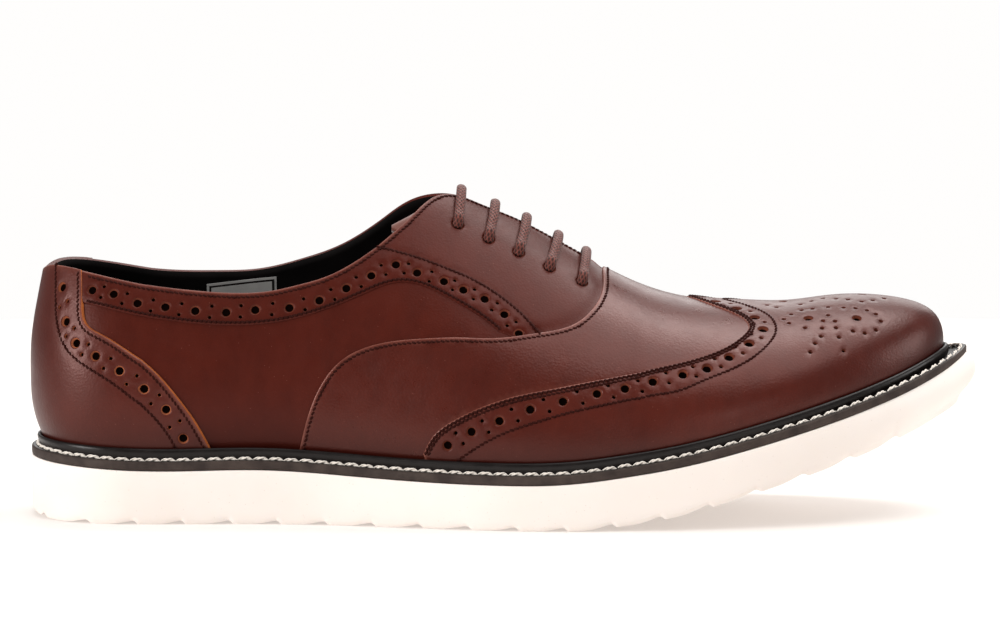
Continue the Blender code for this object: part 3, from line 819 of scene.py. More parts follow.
def shade(places):
    """How much the leather is darkened: burnished dye over the toe and at the heel's back,
    and painted shade low down near the welt, where the upper tucks in to meet it.
    """
    side = np.where(places[:, 1] < 0, LATERAL, MEDIAL)
    along = np.clip(places[:, 0], HEEL_BACK, BALL)
    low = edge_girth(side, along)
    past = np.maximum(places[:, 0] - BALL, 0)
    down = np.hypot(past, np.abs(places[:, 1]))
    low = low + past * 0.22
    # Painted shade: darker low on the side, where the upper tucks in towards the welt
    painted_welt_shade = np.exp(-(np.maximum(low - down, 0) / 11.0) ** 2)
    toe = np.clip((places[:, 0] - 232) / 50, 0, 1) * 0.35
    heel = np.exp(-(np.maximum(places[:, 0] - HEEL_BACK, 0) / 34) ** 2) * 0.45
    return np.clip(np.maximum(np.maximum(0.85 * painted_welt_shade, toe), heel), 0, 1)


EDGE_WEAR_AND_HIGHLIGHT_BAND = 0.55


def edge_wear_and_highlight(xy, line):
    """1 at a line, fading to 0 within a millimetre: the paler band along a panel's edge,
    partly worn and partly a painted highlight.
    """
    distance = nearest(xy, smooth_line(line, 0.5))
    return np.exp(-(distance / EDGE_WEAR_AND_HIGHLIGHT_BAND) ** 2)


# Where the leather is punched and stitched, read on the lateral side

WING_HOLES = table("""
along  girth
135.1  97.3
142.6  91.1
151.4  85.2
161.1  78.6
171.4  72.3
182.1  65.9
190.9  61.1
200.5  56.9
211.6  52.7
219.9  49.0
226.8  43.1
232.6  36.1
236.5  28.4
233.8  21.0
228.2  14.2
221.8  7.1
""")

WING_INNER_ROW = table("""
along  girth
138.0  102.0
142.0  97.9
151.1  90.0
158.0  85.4
169.5  77.8
183.3  69.5
195.5  63.2
210.9  58.6
219.8  53.3
228.0  47.9
234.0  42.5
238.5  35.9
240.5  29.2
239.6  22.6
236.0  15.5
230.7  9.0
226.6  3.6
224.5  0.0
""")

MEDALLION = table("""
along  girth  radius
250.5  21.9   1.5
266.0  22.0   1.5
244.0  2.4    1.4
270.0  0.0    1.4
242.9  21.9   0.7
244.5  24.4   0.7
245.3  18.6   0.7
248.7  15.9   0.7
252.2  15.7   0.7
257.2  15.4   0.7
249.5  27.1   0.7
256.8  20.9   0.7
255.1  23.9   0.7
258.9  24.2   0.7
254.8  27.5   0.7
259.2  27.2   0.7
254.7  31.0   0.7
260.4  30.8   0.7
253.1  33.9   0.7
252.1  37.2   0.7
262.7  34.7   0.7
264.8  27.8   0.7
268.8  27.6   0.7
272.5  25.4   0.7
274.0  21.5   0.7
272.4  18.7   0.7
269.6  17.2   0.7
265.9  16.4   0.7
262.1  16.2   0.7
238.2  8.9    0.7
241.0  11.6   0.7
248.8  10.2   0.7
252.6  7.6    0.7
256.6  5.4    0.7
260.6  7.7    0.7
264.3  9.2    0.7
268.5  11.0   0.7
272.3  9.2    0.7
276.4  6.0    0.7
""")

BAND_HOLES = table("""
along  girth
22.2   37.0
30.0   39.0
37.1   42.2
45.6   44.1
55.1   46.5
64.9   48.4
74.1   48.9
84.9   49.7
94.4   48.4
102.9  45.2
110.8  41.4
118.6  37.8
125.4  40.6
134.0  42.6
140.2  43.9
147.0  44.6
153.2  48.1
157.7  53.5
""")

BAND_ROW = table("""
along  girth
20.4   40.4
32.0   43.9
46.0   47.6
62.0   51.2
74.0   52.8
86.0   52.6
98.0   50.2
109.0  46.3
119.0  43.3
128.0  44.5
137.0  47.8
146.0  50.8
152.6  54.7
""")

FACING_ROW = table("""
along  girth
112.0  31.0
120.9  33.8
128.2  36.0
135.5  37.9
145.4  39.5
153.9  43.1
159.3  46.7
164.5  51.4
""")

COUNTER_HOLES = table("""
along  girth
8.8    33.7
13.2   46.0
18.3   54.0
25.6   59.2
32.9   64.4
39.2   70.2
46.1   77.4
51.4   87.4
""")

COUNTER_ROW = table("""
along  girth
2.0    23.6
5.2    32.8
8.5    43.6
11.6   50.4
15.2   55.7
24.0   63.2
31.5   68.7
38.1   75.0
44.5   82.4
48.5   89.4
50.2   94.0
""")

LARGE_HOLE = 1.68
SMALL_HOLE = 0.7
PAIR_REACH = 1.85
EYELET_HOLE = 2.0


def between(points):
    """A pair of small holes across the band between each two large ones."""
    points = np.asarray(points, float)
    middle = (points[1:] + points[:-1]) / 2
    ahead = points[1:] - points[:-1]
    across = np.stack([-ahead[:, 1], ahead[:, 0]], -1)
    across /= np.linalg.norm(across, axis=1, keepdims=True)
    return np.concatenate([middle + PAIR_REACH * across, middle - PAIR_REACH * across])


def sized(points, radius):
    return [(x, y, radius) for x, y in points]


def brogued(points):
    return sized(points, LARGE_HOLE) + sized(between(points), SMALL_HOLE)


def parallel(line, distance):
    """Line moved to its left by a distance."""
    line = smooth_line(line, 1.0)
    ahead = np.gradient(line, axis=0)
    left = np.stack([-ahead[:, 1], ahead[:, 0]], -1)
    return line + distance * left / np.linalg.norm(left, axis=1, keepdims=True)


# Sheets of the upper

def wing_line():
    """Edge of the wing cap from the lateral welt over its peak to the medial welt."""
    lateral = smooth_line(on_side(LATERAL, columns(WING))[::-1])
    medial = smooth_line(on_side(MEDIAL, columns(WING)))
    return np.vstack([lateral, medial[1:]])


def seam_line():
    """Edge of the vamp from the lateral welt over the throat to the medial welt."""
    lateral = smooth_line(on_side(LATERAL, columns(SEAM))[::-1])
    medial = smooth_line(on_side(MEDIAL, columns(SEAM)))
    return np.vstack([lateral, medial[1:]])


def feather_line(side, start, end):
    """Feather edge from a place on the side to another, or on to the toe tip."""
    if end > BALL:
        side_part = [(x, side * float(feather(side, x))) for x in np.arange(start, BALL, 2.0)]
        turns = [toe_feather(side, a) for a in np.radians(np.arange(0, 90.1, 1.5))]
        return np.array(side_part + turns)
    xs = np.linspace(start, end, max(int(abs(end - start) / 2), 3))
    return np.array([(x, side * float(feather(side, x))) for x in xs])


def vamp_floor(places):
    return np.full(len(places), QUARTER_FACE + 0.05)


def make_wing_cap(mats):
    edge = wing_line()
    lateral = feather_line(LATERAL, edge[0, 0], TOE_TIP)
    medial = feather_line(MEDIAL, edge[-1, 0], TOE_TIP)
    loop = np.vstack([edge, medial[1:], lateral[-2:0:-1]])
    holes = []
    rows = [parallel(edge, -0.6), parallel(edge, -1.55)]
    for side in (LATERAL, MEDIAL):
        holes += brogued(on_side(side, columns(WING_HOLES)))
        rows.append(smooth_line(on_side(side, columns(WING_INNER_ROW))))
        for along, girth, radius in columns(MEDALLION):
            if girth > 0 or side > 0:
                place = on_side(side, [(along, girth)])[0]
                holes.append((place[0], place[1], radius))
    holes.append((217.6, 0.0, LARGE_HOLE))
    holes += sized([(221.6, 3.0), (217.2, 4.6), (221.6, -3.0), (217.2, -4.6)], SMALL_HOLE)
    panel_piece = panel("wing_cap_leather", loop, CAP_FACE, VAMP_FACE - 0.3, mats, holes, rows,
                        relief=cap_relief, skirt=0.3)
    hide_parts("wing_cap")
    return rows


def make_vamp(mats):
    edge = seam_line()
    front = wing_line() + (1.5, 0)
    front[:, 1] = np.clip(front[:, 1], -feather(LATERAL, front[0, 0]), feather(MEDIAL, front[-1, 0]))
    lateral = feather_line(LATERAL, front[0, 0], edge[0, 0])
    medial = feather_line(MEDIAL, edge[-1, 0], front[-1, 0])
    loop = np.vstack([edge, medial[1:], front[::-1], lateral[1:-1]])
    rows = [parallel(edge, -1.3)]
    piece = panel("vamp_leather", loop, VAMP_FACE, QUARTER_FACE - 0.2, mats, (), rows,
                  relief=vamp_relief)
    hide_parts("vamp")
    return rows


def make_facing(side, mats):
    """Collar band and facing of one side."""
    start = COUNTER["along"][0] - 3.0
    collar = np.arange(start, THROAT_END + 2.0, 1.0)
    top = np.stack([collar, side * topline_girth(side, collar)], -1)
    low = smooth_line(on_side(side, columns(BAND)))
    low = np.vstack([low[0] - (7.0, side * 1.5), low])
    lap = SEAM["girth"] < BAND["girth"][-1] + 2
    seam = smooth_line(on_side(side, columns(SEAM)[lap][::-1])) + (4.0, 0)
    loop = np.vstack([top, seam[(np.abs(seam[:, 1]) > 4.0)][::-1], low[::-1]])
    holes = brogued(on_side(side, columns(BAND_HOLES)))
    holes += sized(on_side(side, columns(EYELETS)), EYELET_HOLE)
    rim_row = top[(collar > COUNTER["along"][0] + 2) & (collar < THROAT_END - 3.5)]
    rows = [parallel(rim_row, side * 1.5), smooth_line(on_side(side, columns(BAND_ROW))),
            smooth_line(on_side(side, columns(FACING_ROW)))]

    def floor(places):
        depth = np.full(len(places), QUARTER_FACE - 0.1)
        gap = np.abs(places[:, 1]) - topline_girth(side, places[:, 0])
        return np.where(gap < 0.5, FOLD_FACE, depth)

    def relief(places):
        """Sink where the vamp laps over."""
        return -0.75 * np.exp(-(nearest(places, whole_seam) / 2.4) ** 2)
    whole_seam = smooth_line(on_side(side, columns(SEAM)), 1.0)
    name = "facing_lateral" if side < 0 else "facing_medial"
    piece = panel(f"{name}_leather", loop, FACING_FACE, floor, mats, holes, rows, relief=relief,
                  depth=0.75, rim=SOFT_RINGS, worn_and_highlight_line=top)
    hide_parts(name)
    return rows


def make_counter(mats):
    """Swan-neck counter round the heel, in distances from the heel's back."""
    halves = []
    holes = []
    rows = []
    for side in (LATERAL, MEDIAL):
        front = smooth_line(columns(COUNTER))
        top = float(topline_girth(side, front[0, 0]))
        front[0, 1] = top
        front[-1, 1] = float(feather(side, front[-1, 0]))
        tops = np.arange(HEEL_BACK, front[0, 0], 1.0)
        ceiling = np.stack([tops, topline_girth(side, tops)], -1)
        bottoms = np.arange(HEEL_BACK, front[-1, 0], 2.0)
        low = np.stack([bottoms, feather(side, bottoms)], -1)
        halves.append([wrap(side, part) for part in (ceiling, front, low)])
        holes += brogued(wrap(side, columns(COUNTER_HOLES)))
        rows.append(wrap(side, parallel(front, 1.3)))
        rows.append(wrap(side, smooth_line(columns(COUNTER_ROW))))
    lateral, medial = halves
    loop = np.vstack([medial[0], medial[1], medial[2][::-1], lateral[2][1:], lateral[1][::-1],
                      lateral[0][:0:-1]])

    def floor(places):
        side = np.where(places[:, 1] < 0, LATERAL, MEDIAL)
        top = np.where(side < 0, topline_girth(LATERAL, places[:, 0]),
                       topline_girth(MEDIAL, places[:, 0]))
        return np.where(np.abs(places[:, 1]) - top < 0.5, FOLD_FACE, QUARTER_FACE - 0.1)
    piece = panel("heel_counter_leather", loop, CAP_FACE, floor, mats, holes, rows,
                  domain=Domain.heel, skirt=0.4)
    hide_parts("heel_counter")
    return [Domain.heel(row) for row in rows]


def wrap(side, places):
    places = np.asarray(places, float)
    return np.stack([side * (places[:, 0] - HEEL_BACK), places[:, 1]], -1)


# Soft forms of the leather, in the shoe's own sizes

CREASES = table("""
along  girth  tilt   length  width  depth
30.0   53.5   -24.0  5.0     0.9    0.16
34.5   54.0   -28.0  5.5     0.8    0.20
39.0   55.2   -30.0  5.0     0.8    0.18
43.5   55.6   -26.0  5.0     0.9    0.16
48.0   56.8   -30.0  4.5     0.8    0.14
36.0   58.5   -26.0  5.5     1.0    0.14
42.5   60.0   -30.0  5.0     0.9    0.12
52.0   59.5   -24.0  6.0     1.2    0.12
""")


def crease_relief(places):
    """Soft troughs under the collar band of the quarters."""
    total = np.zeros(len(places))
    girth = np.abs(places[:, 1])
    for along, depth_at, tilt, length, width, depth in columns(CREASES):
        a = np.radians(tilt)
        dx = places[:, 0] - along
        dy = girth - depth_at
        lengthways = (dx * np.cos(a) - dy * np.sin(a)) / length
        across = (dx * np.sin(a) + dy * np.cos(a)) / width
        total -= depth * np.exp(-across ** 2 - lengthways ** 4)
    return total


def vamp_relief(places):
    """Low waves where the ball of the foot would bend."""
    x = places[:, 0]
    g = np.abs(places[:, 1])
    wave = np.sin((x - 0.35 * g) / 7.5) * np.exp(-((x - 205) / 16) ** 2)
    return 0.10 * wave * np.exp(-((g - 28) / 20) ** 2)


def cap_relief(places):
    """Slight unevenness of the leather pulled over the toe."""
    x = places[:, 0]
    g = places[:, 1]
    return 0.06 * np.sin(x / 5.3 + 1.3) * np.sin(g / 6.1 + 0.4)


def last_grid(offset, rows, top_gap=0.0, relief=None, rim_offset=None):
    """Closed grid over the last, from the topline and the ridge down to the feather edge.

    rim_offset is how far the first row lies from the last instead of offset.
    """
    heel = np.linspace(HEEL_BACK, HEEL, 40)[:-1]
    body = np.linspace(HEEL, THROAT_END, 130)
    vamp = np.linspace(THROAT_END, BALL, 8)[1:]
    angles = np.radians(np.linspace(2.0, 90, 46))
    halves = []
    shares = np.linspace(0, 1, rows)
    for side in (LATERAL, MEDIAL):
        grid = []
        for along in (*heel, *body, *vamp):
            top = 0.0 if along > THROAT_END else float(topline_girth(side, along)) + top_gap
            girth = top + shares * (float(feather(side, along)) - top)
            grid.append(np.stack([np.full(rows, along), side * np.maximum(girth, 1e-3)], -1))
        for angle in angles:
            end = toe_feather(side, angle)
            grid.append(np.array([BALL, side * 1e-3]) + shares[:, None] * (end - (BALL, 0)))
        halves.append(np.array(grid))
    places = np.concatenate([halves[0], halves[1][-2:0:-1]])
    flat = places.reshape(-1, 2)
    height = np.full(len(flat), offset)
    if rim_offset is not None:
        height[::rows] = rim_offset
    if relief is not None:
        height = height + relief(flat)
    return layer(flat, height), len(places), rows, flat


def grid_shell(name, grid, mats, values=None):
    points, count, rows, flat = grid
    faces = []
    for i in range(count):
        k = (i + 1) % count
        for j in range(rows - 1):
            faces.append((i * rows + j, i * rows + j + 1, k * rows + j + 1, k * rows + j))
    return add_piece(name, points, faces, mats, values=values)


def make_quarters(mats):
    """Main sheet of the quarters, under the panels, and the black lining inside it."""
    grid = last_grid(QUARTER_FACE, 84, relief=crease_relief)
    values = {"edge": np.zeros(len(grid[0])), "shade": shade(grid[3])}
    quarters = grid_shell("quarters_leather", grid, [mats["quarter"]], values)
    lining = grid_shell("lining", last_grid(LINING_FACE, 60, top_gap=0.05, rim_offset=FOLD_FACE), [mats["lining"]])
    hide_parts("upper")
    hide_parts("upper")


TONGUE = table("""
along  half_width
117.0  14.0
119.0  16.5
124.0  18.5
150.0  24.0
193.0  20.0
""")
TONGUE_BEND = 141.0
TONGUE_DROP = 5.6
TONGUE_SAG = 8.0
TONGUE_HELD = 14.0


def make_tongue(mat):
    along = np.concatenate([np.linspace(117, 119, 4), np.linspace(119, 193, 60)[1:]])
    half = np.interp(along, TONGUE["along"], TONGUE["half_width"])
    across = np.linspace(-1, 1, 40)
    places = np.stack([along[:, None] + 0 * across, half[:, None] * across], -1)
    free = np.clip((TONGUE_BEND - along) / (TONGUE_BEND - along[0]), 0, 1)
    sheets = []
    for offset in (TONGUE_FACE, TONGUE_BACK):
        points = layer(places, offset)
        loose = np.clip((places[..., 1] + TONGUE_HELD) / TONGUE_HELD, 0, 1)
        loose = loose * loose * (3 - 2 * loose)
        points[..., 2] -= (TONGUE_DROP + TONGUE_SAG * loose) * free[:, None] ** 2
        sheets.append(points)
    front, back = sheets
    loop = np.concatenate([front, back[:, ::-1]], axis=1)
    rows, cols = loop.shape[:2]
    faces = grid_faces(rows, cols, closed=True)
    cap = cols // 2
    for row in (0, rows - 1):
        for j in range(cap - 1):
            quad = (row * cols + j, row * cols + j + 1, row * cols + cols - 2 - j,
                    row * cols + cols - 1 - j)
            faces.append(quad if row else quad[::-1])
    piece = add_piece("tongue_leather", loop.reshape(-1, 3), faces, [mat])
    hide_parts("tongue")


# Stitches of the upper

STITCH_PITCH = 1.52
STITCH_LENGTH = 1.02
THREAD_RADIUS = 0.39
STITCH_SIDES = 6


def stitch_row(parts, holes, places, face):
    """Row of short threads that dip into the leather at both ends."""
    places = smooth_line(places, 0.4)
    points = layer(places, face - GROOVE_DEPTH)
    length = np.r_[0, np.cumsum(np.linalg.norm(np.diff(points, axis=0), axis=1))]
    ups = normals(places[:, 0], places[:, 1])
    shape = np.array([[0.0, -0.16], [0.12, 0.09], [0.5, 0.17], [0.88, 0.09], [1.0, -0.16]])
    for start in np.arange(0.6, length[-1] - STITCH_LENGTH, STITCH_PITCH):
        at = start + shape[:, 0] * STITCH_LENGTH
        route = np.stack([np.interp(at, length, points[:, k]) for k in range(3)], -1)
        up = np.stack([np.interp(at, length, ups[:, k]) for k in range(3)], -1)
        ahead = route[-1] - route[0]
        across = np.cross(ahead, up[2])
        across /= np.linalg.norm(across)
        route = route + up * shape[:, 1:2] + across * (shape[:, :1] - 0.5) * 0.4
        ring_points = tube_points(route, up, THREAD_RADIUS, STITCH_SIDES)
        parts.add(ring_points, tube_faces(len(route), STITCH_SIDES))
        # The holes parts get a flat dark disc over each needle hole: painted shade
        middle = start - (STITCH_PITCH - STITCH_LENGTH) / 2
        if middle > 0:
            centre_point = np.array([np.interp(middle, length, points[:, k]) for k in range(3)])
            add_needle_hole_shade(holes, centre_point, up[0], ahead)


# Painted shade: a flat near-black disc lying over a needle hole, not a hole
def add_needle_hole_shade(parts, centre_point, up, ahead):
    ahead = ahead / np.linalg.norm(ahead)
    across = np.cross(up, ahead)
    turn = np.linspace(0, 2 * np.pi, 6, endpoint=False)
    rim_points = (centre_point + 0.08 * up + 0.2 * np.cos(turn)[:, None] * ahead
                  + 0.42 * np.sin(turn)[:, None] * across)
    parts.add(rim_points, [tuple(range(6))])


# Laces

LACE_RADIUS = 1.66
LACE_LIFT = 0.8
LACE_FLAT = 0.8
LACE_RINGS = 240
LACE_BOW = table("""
number  bow
1       0.6
2       1.7
3       2.2
4       2.6
5       1.2
""")


def make_laces(mat):
    lateral = on_side(LATERAL, columns(EYELETS))
    medial = on_side(MEDIAL, columns(EYELETS))
    shape = np.array([[0.0, -4.6], [0.0, -2.4], [0.008, -0.5], [0.035, 0.9], [0.085, LACE_LIFT],
                      [0.2, LACE_LIFT], [0.35, LACE_LIFT + 0.05], [0.46, LACE_LIFT + 0.1]])
    shape = np.vstack([shape, (1 - shape[::-1, 0]).reshape(-1, 1) @ [[1, 0]] + shape[::-1] * (0, 1)])
    for number, (a, b, bow) in enumerate(zip(lateral, medial, LACE_BOW["bow"]), start=1):
        places = a + shape[:, :1] * (b - a)
        places[:, 0] += bow * np.sin(np.pi * shape[:, 0])
        route = resample(layer(places, shape[:, 1]), LACE_RINGS)
        up = normals(*(a + np.linspace(0, 1, LACE_RINGS)[:, None] * (b - a)).T)
        sides = 40
        along = np.r_[0, np.cumsum(np.linalg.norm(np.diff(route, axis=0), axis=1))]
        turn = np.linspace(0, 2 * np.pi, sides, endpoint=False)
        strand = 8 * turn[None] + 0 * along[:, None]
        left = np.cos(strand + along[:, None] * 3.6)
        right = np.cos(strand - along[:, None] * 3.6)
        weave = np.maximum(left, right)
        radii = LACE_RADIUS * (0.955 + 0.045 * weave)
        points = tube_points(route, up, radii, sides, LACE_FLAT)
        values = {"weave": weave.reshape(-1)}
        piece = add_piece(f"lace_{number}", points, tube_faces(len(route), sides), [mat],
                          values=values)
        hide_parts(f"lace_bar_{number}")


# The welt and the sole

def rim_stations(count):
    """Stations of the feather edge from the heel's back to the toe tip, evenly spaced."""
    u = np.linspace(HEEL - 90, BALL + 90, 3000)
    points = section(LATERAL, u, -1.0)
    length = np.r_[0, np.cumsum(np.linalg.norm(np.diff(points, axis=0), axis=1))]
    return np.interp(np.linspace(0, length[-1], count), length, u)


def toe_share_at(points):
    return toe_share(points[:, 0])


def ledge(x):
    """How far the sole stands out past the feather edge."""
    return LEDGE + TOE_LEDGE * toe_share(x) ** 3


def rim_loop(stations):
    """Closed loop of feather points, outward directions, stations and sides."""
    points = np.concatenate([section(LATERAL, stations, -1.0),
                             section(MEDIAL, stations[-2:0:-1], -1.0)])
    sides = np.r_[np.full(len(stations), LATERAL), np.full(len(stations) - 2, MEDIAL)]
    around = np.concatenate([stations, stations[-2:0:-1]])
    points[0, 1] = 0.0
    ahead = np.roll(points, -1, 0) - np.roll(points, 1, 0)
    outward = np.stack([ahead[:, 1], -ahead[:, 0], np.zeros(len(points))], -1)
    outward /= np.linalg.norm(outward, axis=1, keepdims=True)
    return points, outward, around, sides


def lip_points(sides, stations, height):
    """Points of the last at a height over the feather edge."""
    ease = np.clip(stations - BALL, 0, 90) / 90
    ease = ease * ease * (3 - 2 * ease)
    widest = bulge(np.clip(stations, HEEL, BALL)) * (1 - ease) + TOE_BULGE * ease
    return section(sides, stations, np.minimum(height / widest, 1.0) - 1)


# Section of the welt: its outer part in from the edge of the ledge, then its lip by how far
# it stands out from a place on the last that is so far above the feather edge
WELT_EDGE = table("""
inset  height
1.5    0.15
0.35   0.2
0.1    0.5
0.0    1.1
0.0    2.4
0.12   2.85
0.45   3.1
1.0    3.2
1.6    3.15
2.0    2.9
2.3    2.6
2.8    2.55
""")

WELT_LIP = table("""
above  out   drop
0.3    2.0   0.3
1.4    2.0   0.3
2.5    1.85  0.3
3.2    1.6   0.3
3.7    1.2   0.3
3.85   0.8   0.3
3.7    0.4   0.3
3.0    0.15  0.3
1.5    -0.1  0.3
""")


def make_welt(mats):
    points, outward, stations, sides = rim_loop(rim_stations(260))
    width = ledge(points[:, 0])
    rings = []
    for inset_by, height in columns(WELT_EDGE):
        ring_points = points + outward * (width - inset_by)[:, None]
        ring_points[:, 2] = seat(ring_points[:, 0]) + height
        rings.append(ring_points)
    for above, out, drop in columns(WELT_LIP):
        rings.append(lip_points(sides, stations, above) + outward * out - (0, 0, drop))
    grid = np.array(rings)
    rows, cols = grid.shape[:2]
    faces = grid_faces(rows, cols, closed=True)
    edge_rows = 6
    slots = np.repeat(np.where(np.arange(rows - 1) < edge_rows, 0, 1), cols)
    piece = add_piece("welt_storm", grid.reshape(-1, 3), faces, mats, slots)
    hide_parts("welt")


WELT_PITCH = 4.9
WELT_STITCH = 4.75
WELT_INSET = 2.0
PLY_RADIUS = 0.31
PLY_REACH = 0.27


def make_welt_stitches(mat):
    """Two-ply cream stitches lying in the groove of the welt."""
    points, outward, _, _ = rim_loop(rim_stations(420))
    line = points + outward * (ledge(points[:, 0]) - WELT_INSET)[:, None]
    line[:, 2] = seat(line[:, 0]) + 3.35
    line = np.vstack([line, line[:1]])
    length = np.r_[0, np.cumsum(np.linalg.norm(np.diff(line, axis=0), axis=1))]
    count = int(round(length[-1] / WELT_PITCH))
    pitch = length[-1] / count
    out = np.vstack([outward, outward[:1]])
    parts = Parts()
    share = np.linspace(0, 1, 13)
    rng = np.random.default_rng(7)
    for k in range(count):
        jitter = rng.normal(0, 1, 3)
        at = (k + share * WELT_STITCH / WELT_PITCH) * pitch
        route = np.stack([np.interp(at, length, line[:, i]) for i in range(3)], -1)
        side = np.stack([np.interp(at, length, out[:, i]) for i in range(3)], -1)
        rise = 0.34 * np.sin(np.pi * np.clip(share * 1.05, 0, 1)) ** 0.6 - 0.5 * share ** 6
        route[:, 2] += rise + 0.04 * jitter[0]
        route += side * (0.30 - 0.62 * share + 0.05 * jitter[1])[:, None]
        thin = np.clip(np.sin(np.pi * share) ** 0.3, 0.62, 1)
        for ply in (0, np.pi):
            twist = ply + share * 2 * np.pi * 1.15 + 0.2 * jitter[2]
            centre_line = route + side * (PLY_REACH * np.cos(twist) * thin)[:, None]
            centre_line[:, 2] += PLY_REACH * np.sin(twist) * thin
            up = np.broadcast_to((0.0, 0.0, 1.0), centre_line.shape)
            parts.add(tube_points(centre_line, up, PLY_RADIUS * thin, 8), tube_faces(13, 8))
    piece = parts.piece("welt_thread", [mat])


TREAD_PITCH = 15.1
TREAD_START = 7.2
TREAD_COUNT = 18
TREAD_DEPTH = 1.2
TREAD_SHAPE = table("""
share  lift
0.00   0.00
0.30   0.00
0.42   0.06
0.52   0.20
0.62   0.40
0.72   0.64
0.80   0.88
0.86   1.00
0.90   0.94
0.94   0.58
0.97   0.20
""")


def ripple(x):
    """Height of the ripples over the level they touch."""
    share = ((x - TREAD_START) / TREAD_PITCH) % 1.0
    shares = np.r_[TREAD_SHAPE["share"], 1.0]
    lifts = np.r_[TREAD_SHAPE["lift"], 0.0]
    in_range = (x > 5.0) & (x < 283.0)
    return np.where(in_range, TREAD_DEPTH * np.interp(share, shares, lifts), 0.0)


def sole_bottom(x):
    return np.maximum(tread(x), 0.0) + ripple(x)


def tread_breaks():
    """Places along the sole where the ripples change slope."""
    xs = [TREAD_START + (k + s) * TREAD_PITCH for k in range(-1, TREAD_COUNT + 1)
          for s in TREAD_SHAPE["share"]]
    return np.array([x for x in xs if 5.0 < x < 283.0])


def make_outsole(mat):
    """Wedge sole: side walls round the rim and a rippled underside."""
    stations = rim_stations(300)
    points, outward, _, _ = rim_loop(stations)
    share = toe_share(points[:, 0])
    full = ledge(points[:, 0]) + NOSE_REACH * share ** 4
    outline = points + outward * full[:, None]
    half = len(stations)
    breaks = tread_breaks()
    loops = []
    for part in (outline[:half], np.vstack([outline[half - 1:], outline[:1]])[::-1]):
        middle = breaks[(breaks > part[0, 0] + 3) & (breaks < part[-1, 0] - 12)]
        order = np.argsort(part[:, 0])
        extra = np.stack([middle, np.interp(middle, part[order, 0], part[order, 1])], -1)
        near = np.min(np.abs(part[:, :1] - middle[None]), axis=1) < 0.35
        kept = part[~near, :2]
        both = np.vstack([kept, extra])
        rear = both[:, 0] < 40
        front = both[:, 0] > 250
        key = np.where(rear, both[:, 0] - 0.001 * np.abs(both[:, 1] - part[0, 1]), both[:, 0])
        path = np.r_[0, np.cumsum(np.linalg.norm(np.diff(part[:, :2], axis=0), axis=1))]
        spot = [path[np.argmin(np.linalg.norm(part[:, :2] - p, axis=1))]
                + (p[0] - part[np.argmin(np.linalg.norm(part[:, :2] - p, axis=1)), 0]) * 0.9
                for p in both]
        both = both[np.argsort(spot)]
        loops.append(both)
    loop = np.vstack([loops[0], loops[1][::-1][1:-1]])
    n = len(loop)
    ahead = np.roll(loop, -1, 0) - np.roll(loop, 1, 0)
    out = np.stack([ahead[:, 1], -ahead[:, 0]], -1)
    out /= np.linalg.norm(out, axis=1, keepdims=True)
    share = toe_share(loop[:, 0]) ** 4
    top = seat(loop[:, 0])
    bottom = sole_bottom(loop[:, 0])
    rings = []
    for level in np.r_[0.0, 0.03, 0.1, 0.2, 0.3, 0.42, 0.55, 0.68, 0.8, 0.9, 0.96, 1.0]:
        z = top + level * (bottom - top)
        tuck = NOSE_REACH * share * (1 - np.sin(np.pi * np.clip(level * 1.35, 0, 1)) ** 0.7)
        tuck = np.where(level > 0.42, NOSE_REACH * share * 1.9 * np.clip(level - 0.42, 0, 1) ** 1.6 * 2,
                        tuck)
        corner = 0.7 * np.clip((level - 0.9) / 0.1, 0, 1) ** 2 + 0.15 * (level == 0)
        xy = loop - out * (tuck + corner)[:, None]
        z = np.where(level < 1, z, sole_bottom(xy[:, 0]))
        rings.append(np.column_stack([xy, z]))
    grid = np.array(rings)
    wall_faces = grid_faces(len(rings), n, closed=True)
    parts = Parts()
    parts.add(grid.reshape(-1, 3), wall_faces)
    parts.add(*underside(grid[-1]))
    parts.add(*underside(grid[0], lambda x: seat(x)))
    piece = parts.piece("outsole_wedge", [mat])
    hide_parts("outsole")


def underside(rim_points, height=sole_bottom):
    """Points and triangles that fill a loop, with lines of points along every ripple."""
    loop = rim_points[:, :2]
    flat_points = [loop]
    for x in tread_breaks():
        hits = crossing(loop, x)
        if len(hits) == 2:
            ys = np.arange(min(hits) + 2.0, max(hits) - 2.0, 6.0)
            flat_points.append(np.stack([np.full(len(ys), x), ys], -1))
    flat_all = np.concatenate(flat_points)
    n = len(loop)
    edges = [(k, (k + 1) % n) for k in range(n)]
    verts, _, faces, sources, _, _ = delaunay_2d_cdt([Vector(p) for p in flat_all], edges, [], 1, 1e-5)
    xy = np.array([(v[0], v[1]) for v in verts])
    z = height(xy[:, 0])
    for k, source in enumerate(sources):
        if source and source[0] < n:
            z[k] = rim_points[source[0], 2]
    return np.column_stack([xy, z]), [tuple(f)[::-1] for f in faces]


def crossing(loop, x):
    """Where a closed loop crosses a line across the shoe."""
    a = loop
    b = np.roll(loop, -1, 0)
    hit = (a[:, 0] <= x) != (b[:, 0] <= x)
    share = (x - a[hit, 0]) / (b[hit, 0] - a[hit, 0])
    return a[hit, 1] + share * (b[hit, 1] - a[hit, 1])


def make_insole(mat):
    """Footbed, slightly dished, out to the lining."""
    points, outward, _, _ = rim_loop(rim_stations(90))
    inner = points - outward * 3.0
    count = len(inner)
    rows = []
    for k in range(1, count // 2):
        a, b = inner[k], inner[-k]
        share = np.linspace(0, 1, 15)
        row = a + share[:, None] * (b - a)
        row[:, 2] = seat(row[:, 0]) + 5.9 + 1.6 * (2 * share - 1) ** 4
        rows.append(row)
    grid = np.array(rows)
    piece = add_piece("footbed", grid.reshape(-1, 3), grid_faces(*grid.shape[:2]), [mat])
    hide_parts("insole")


# Materials

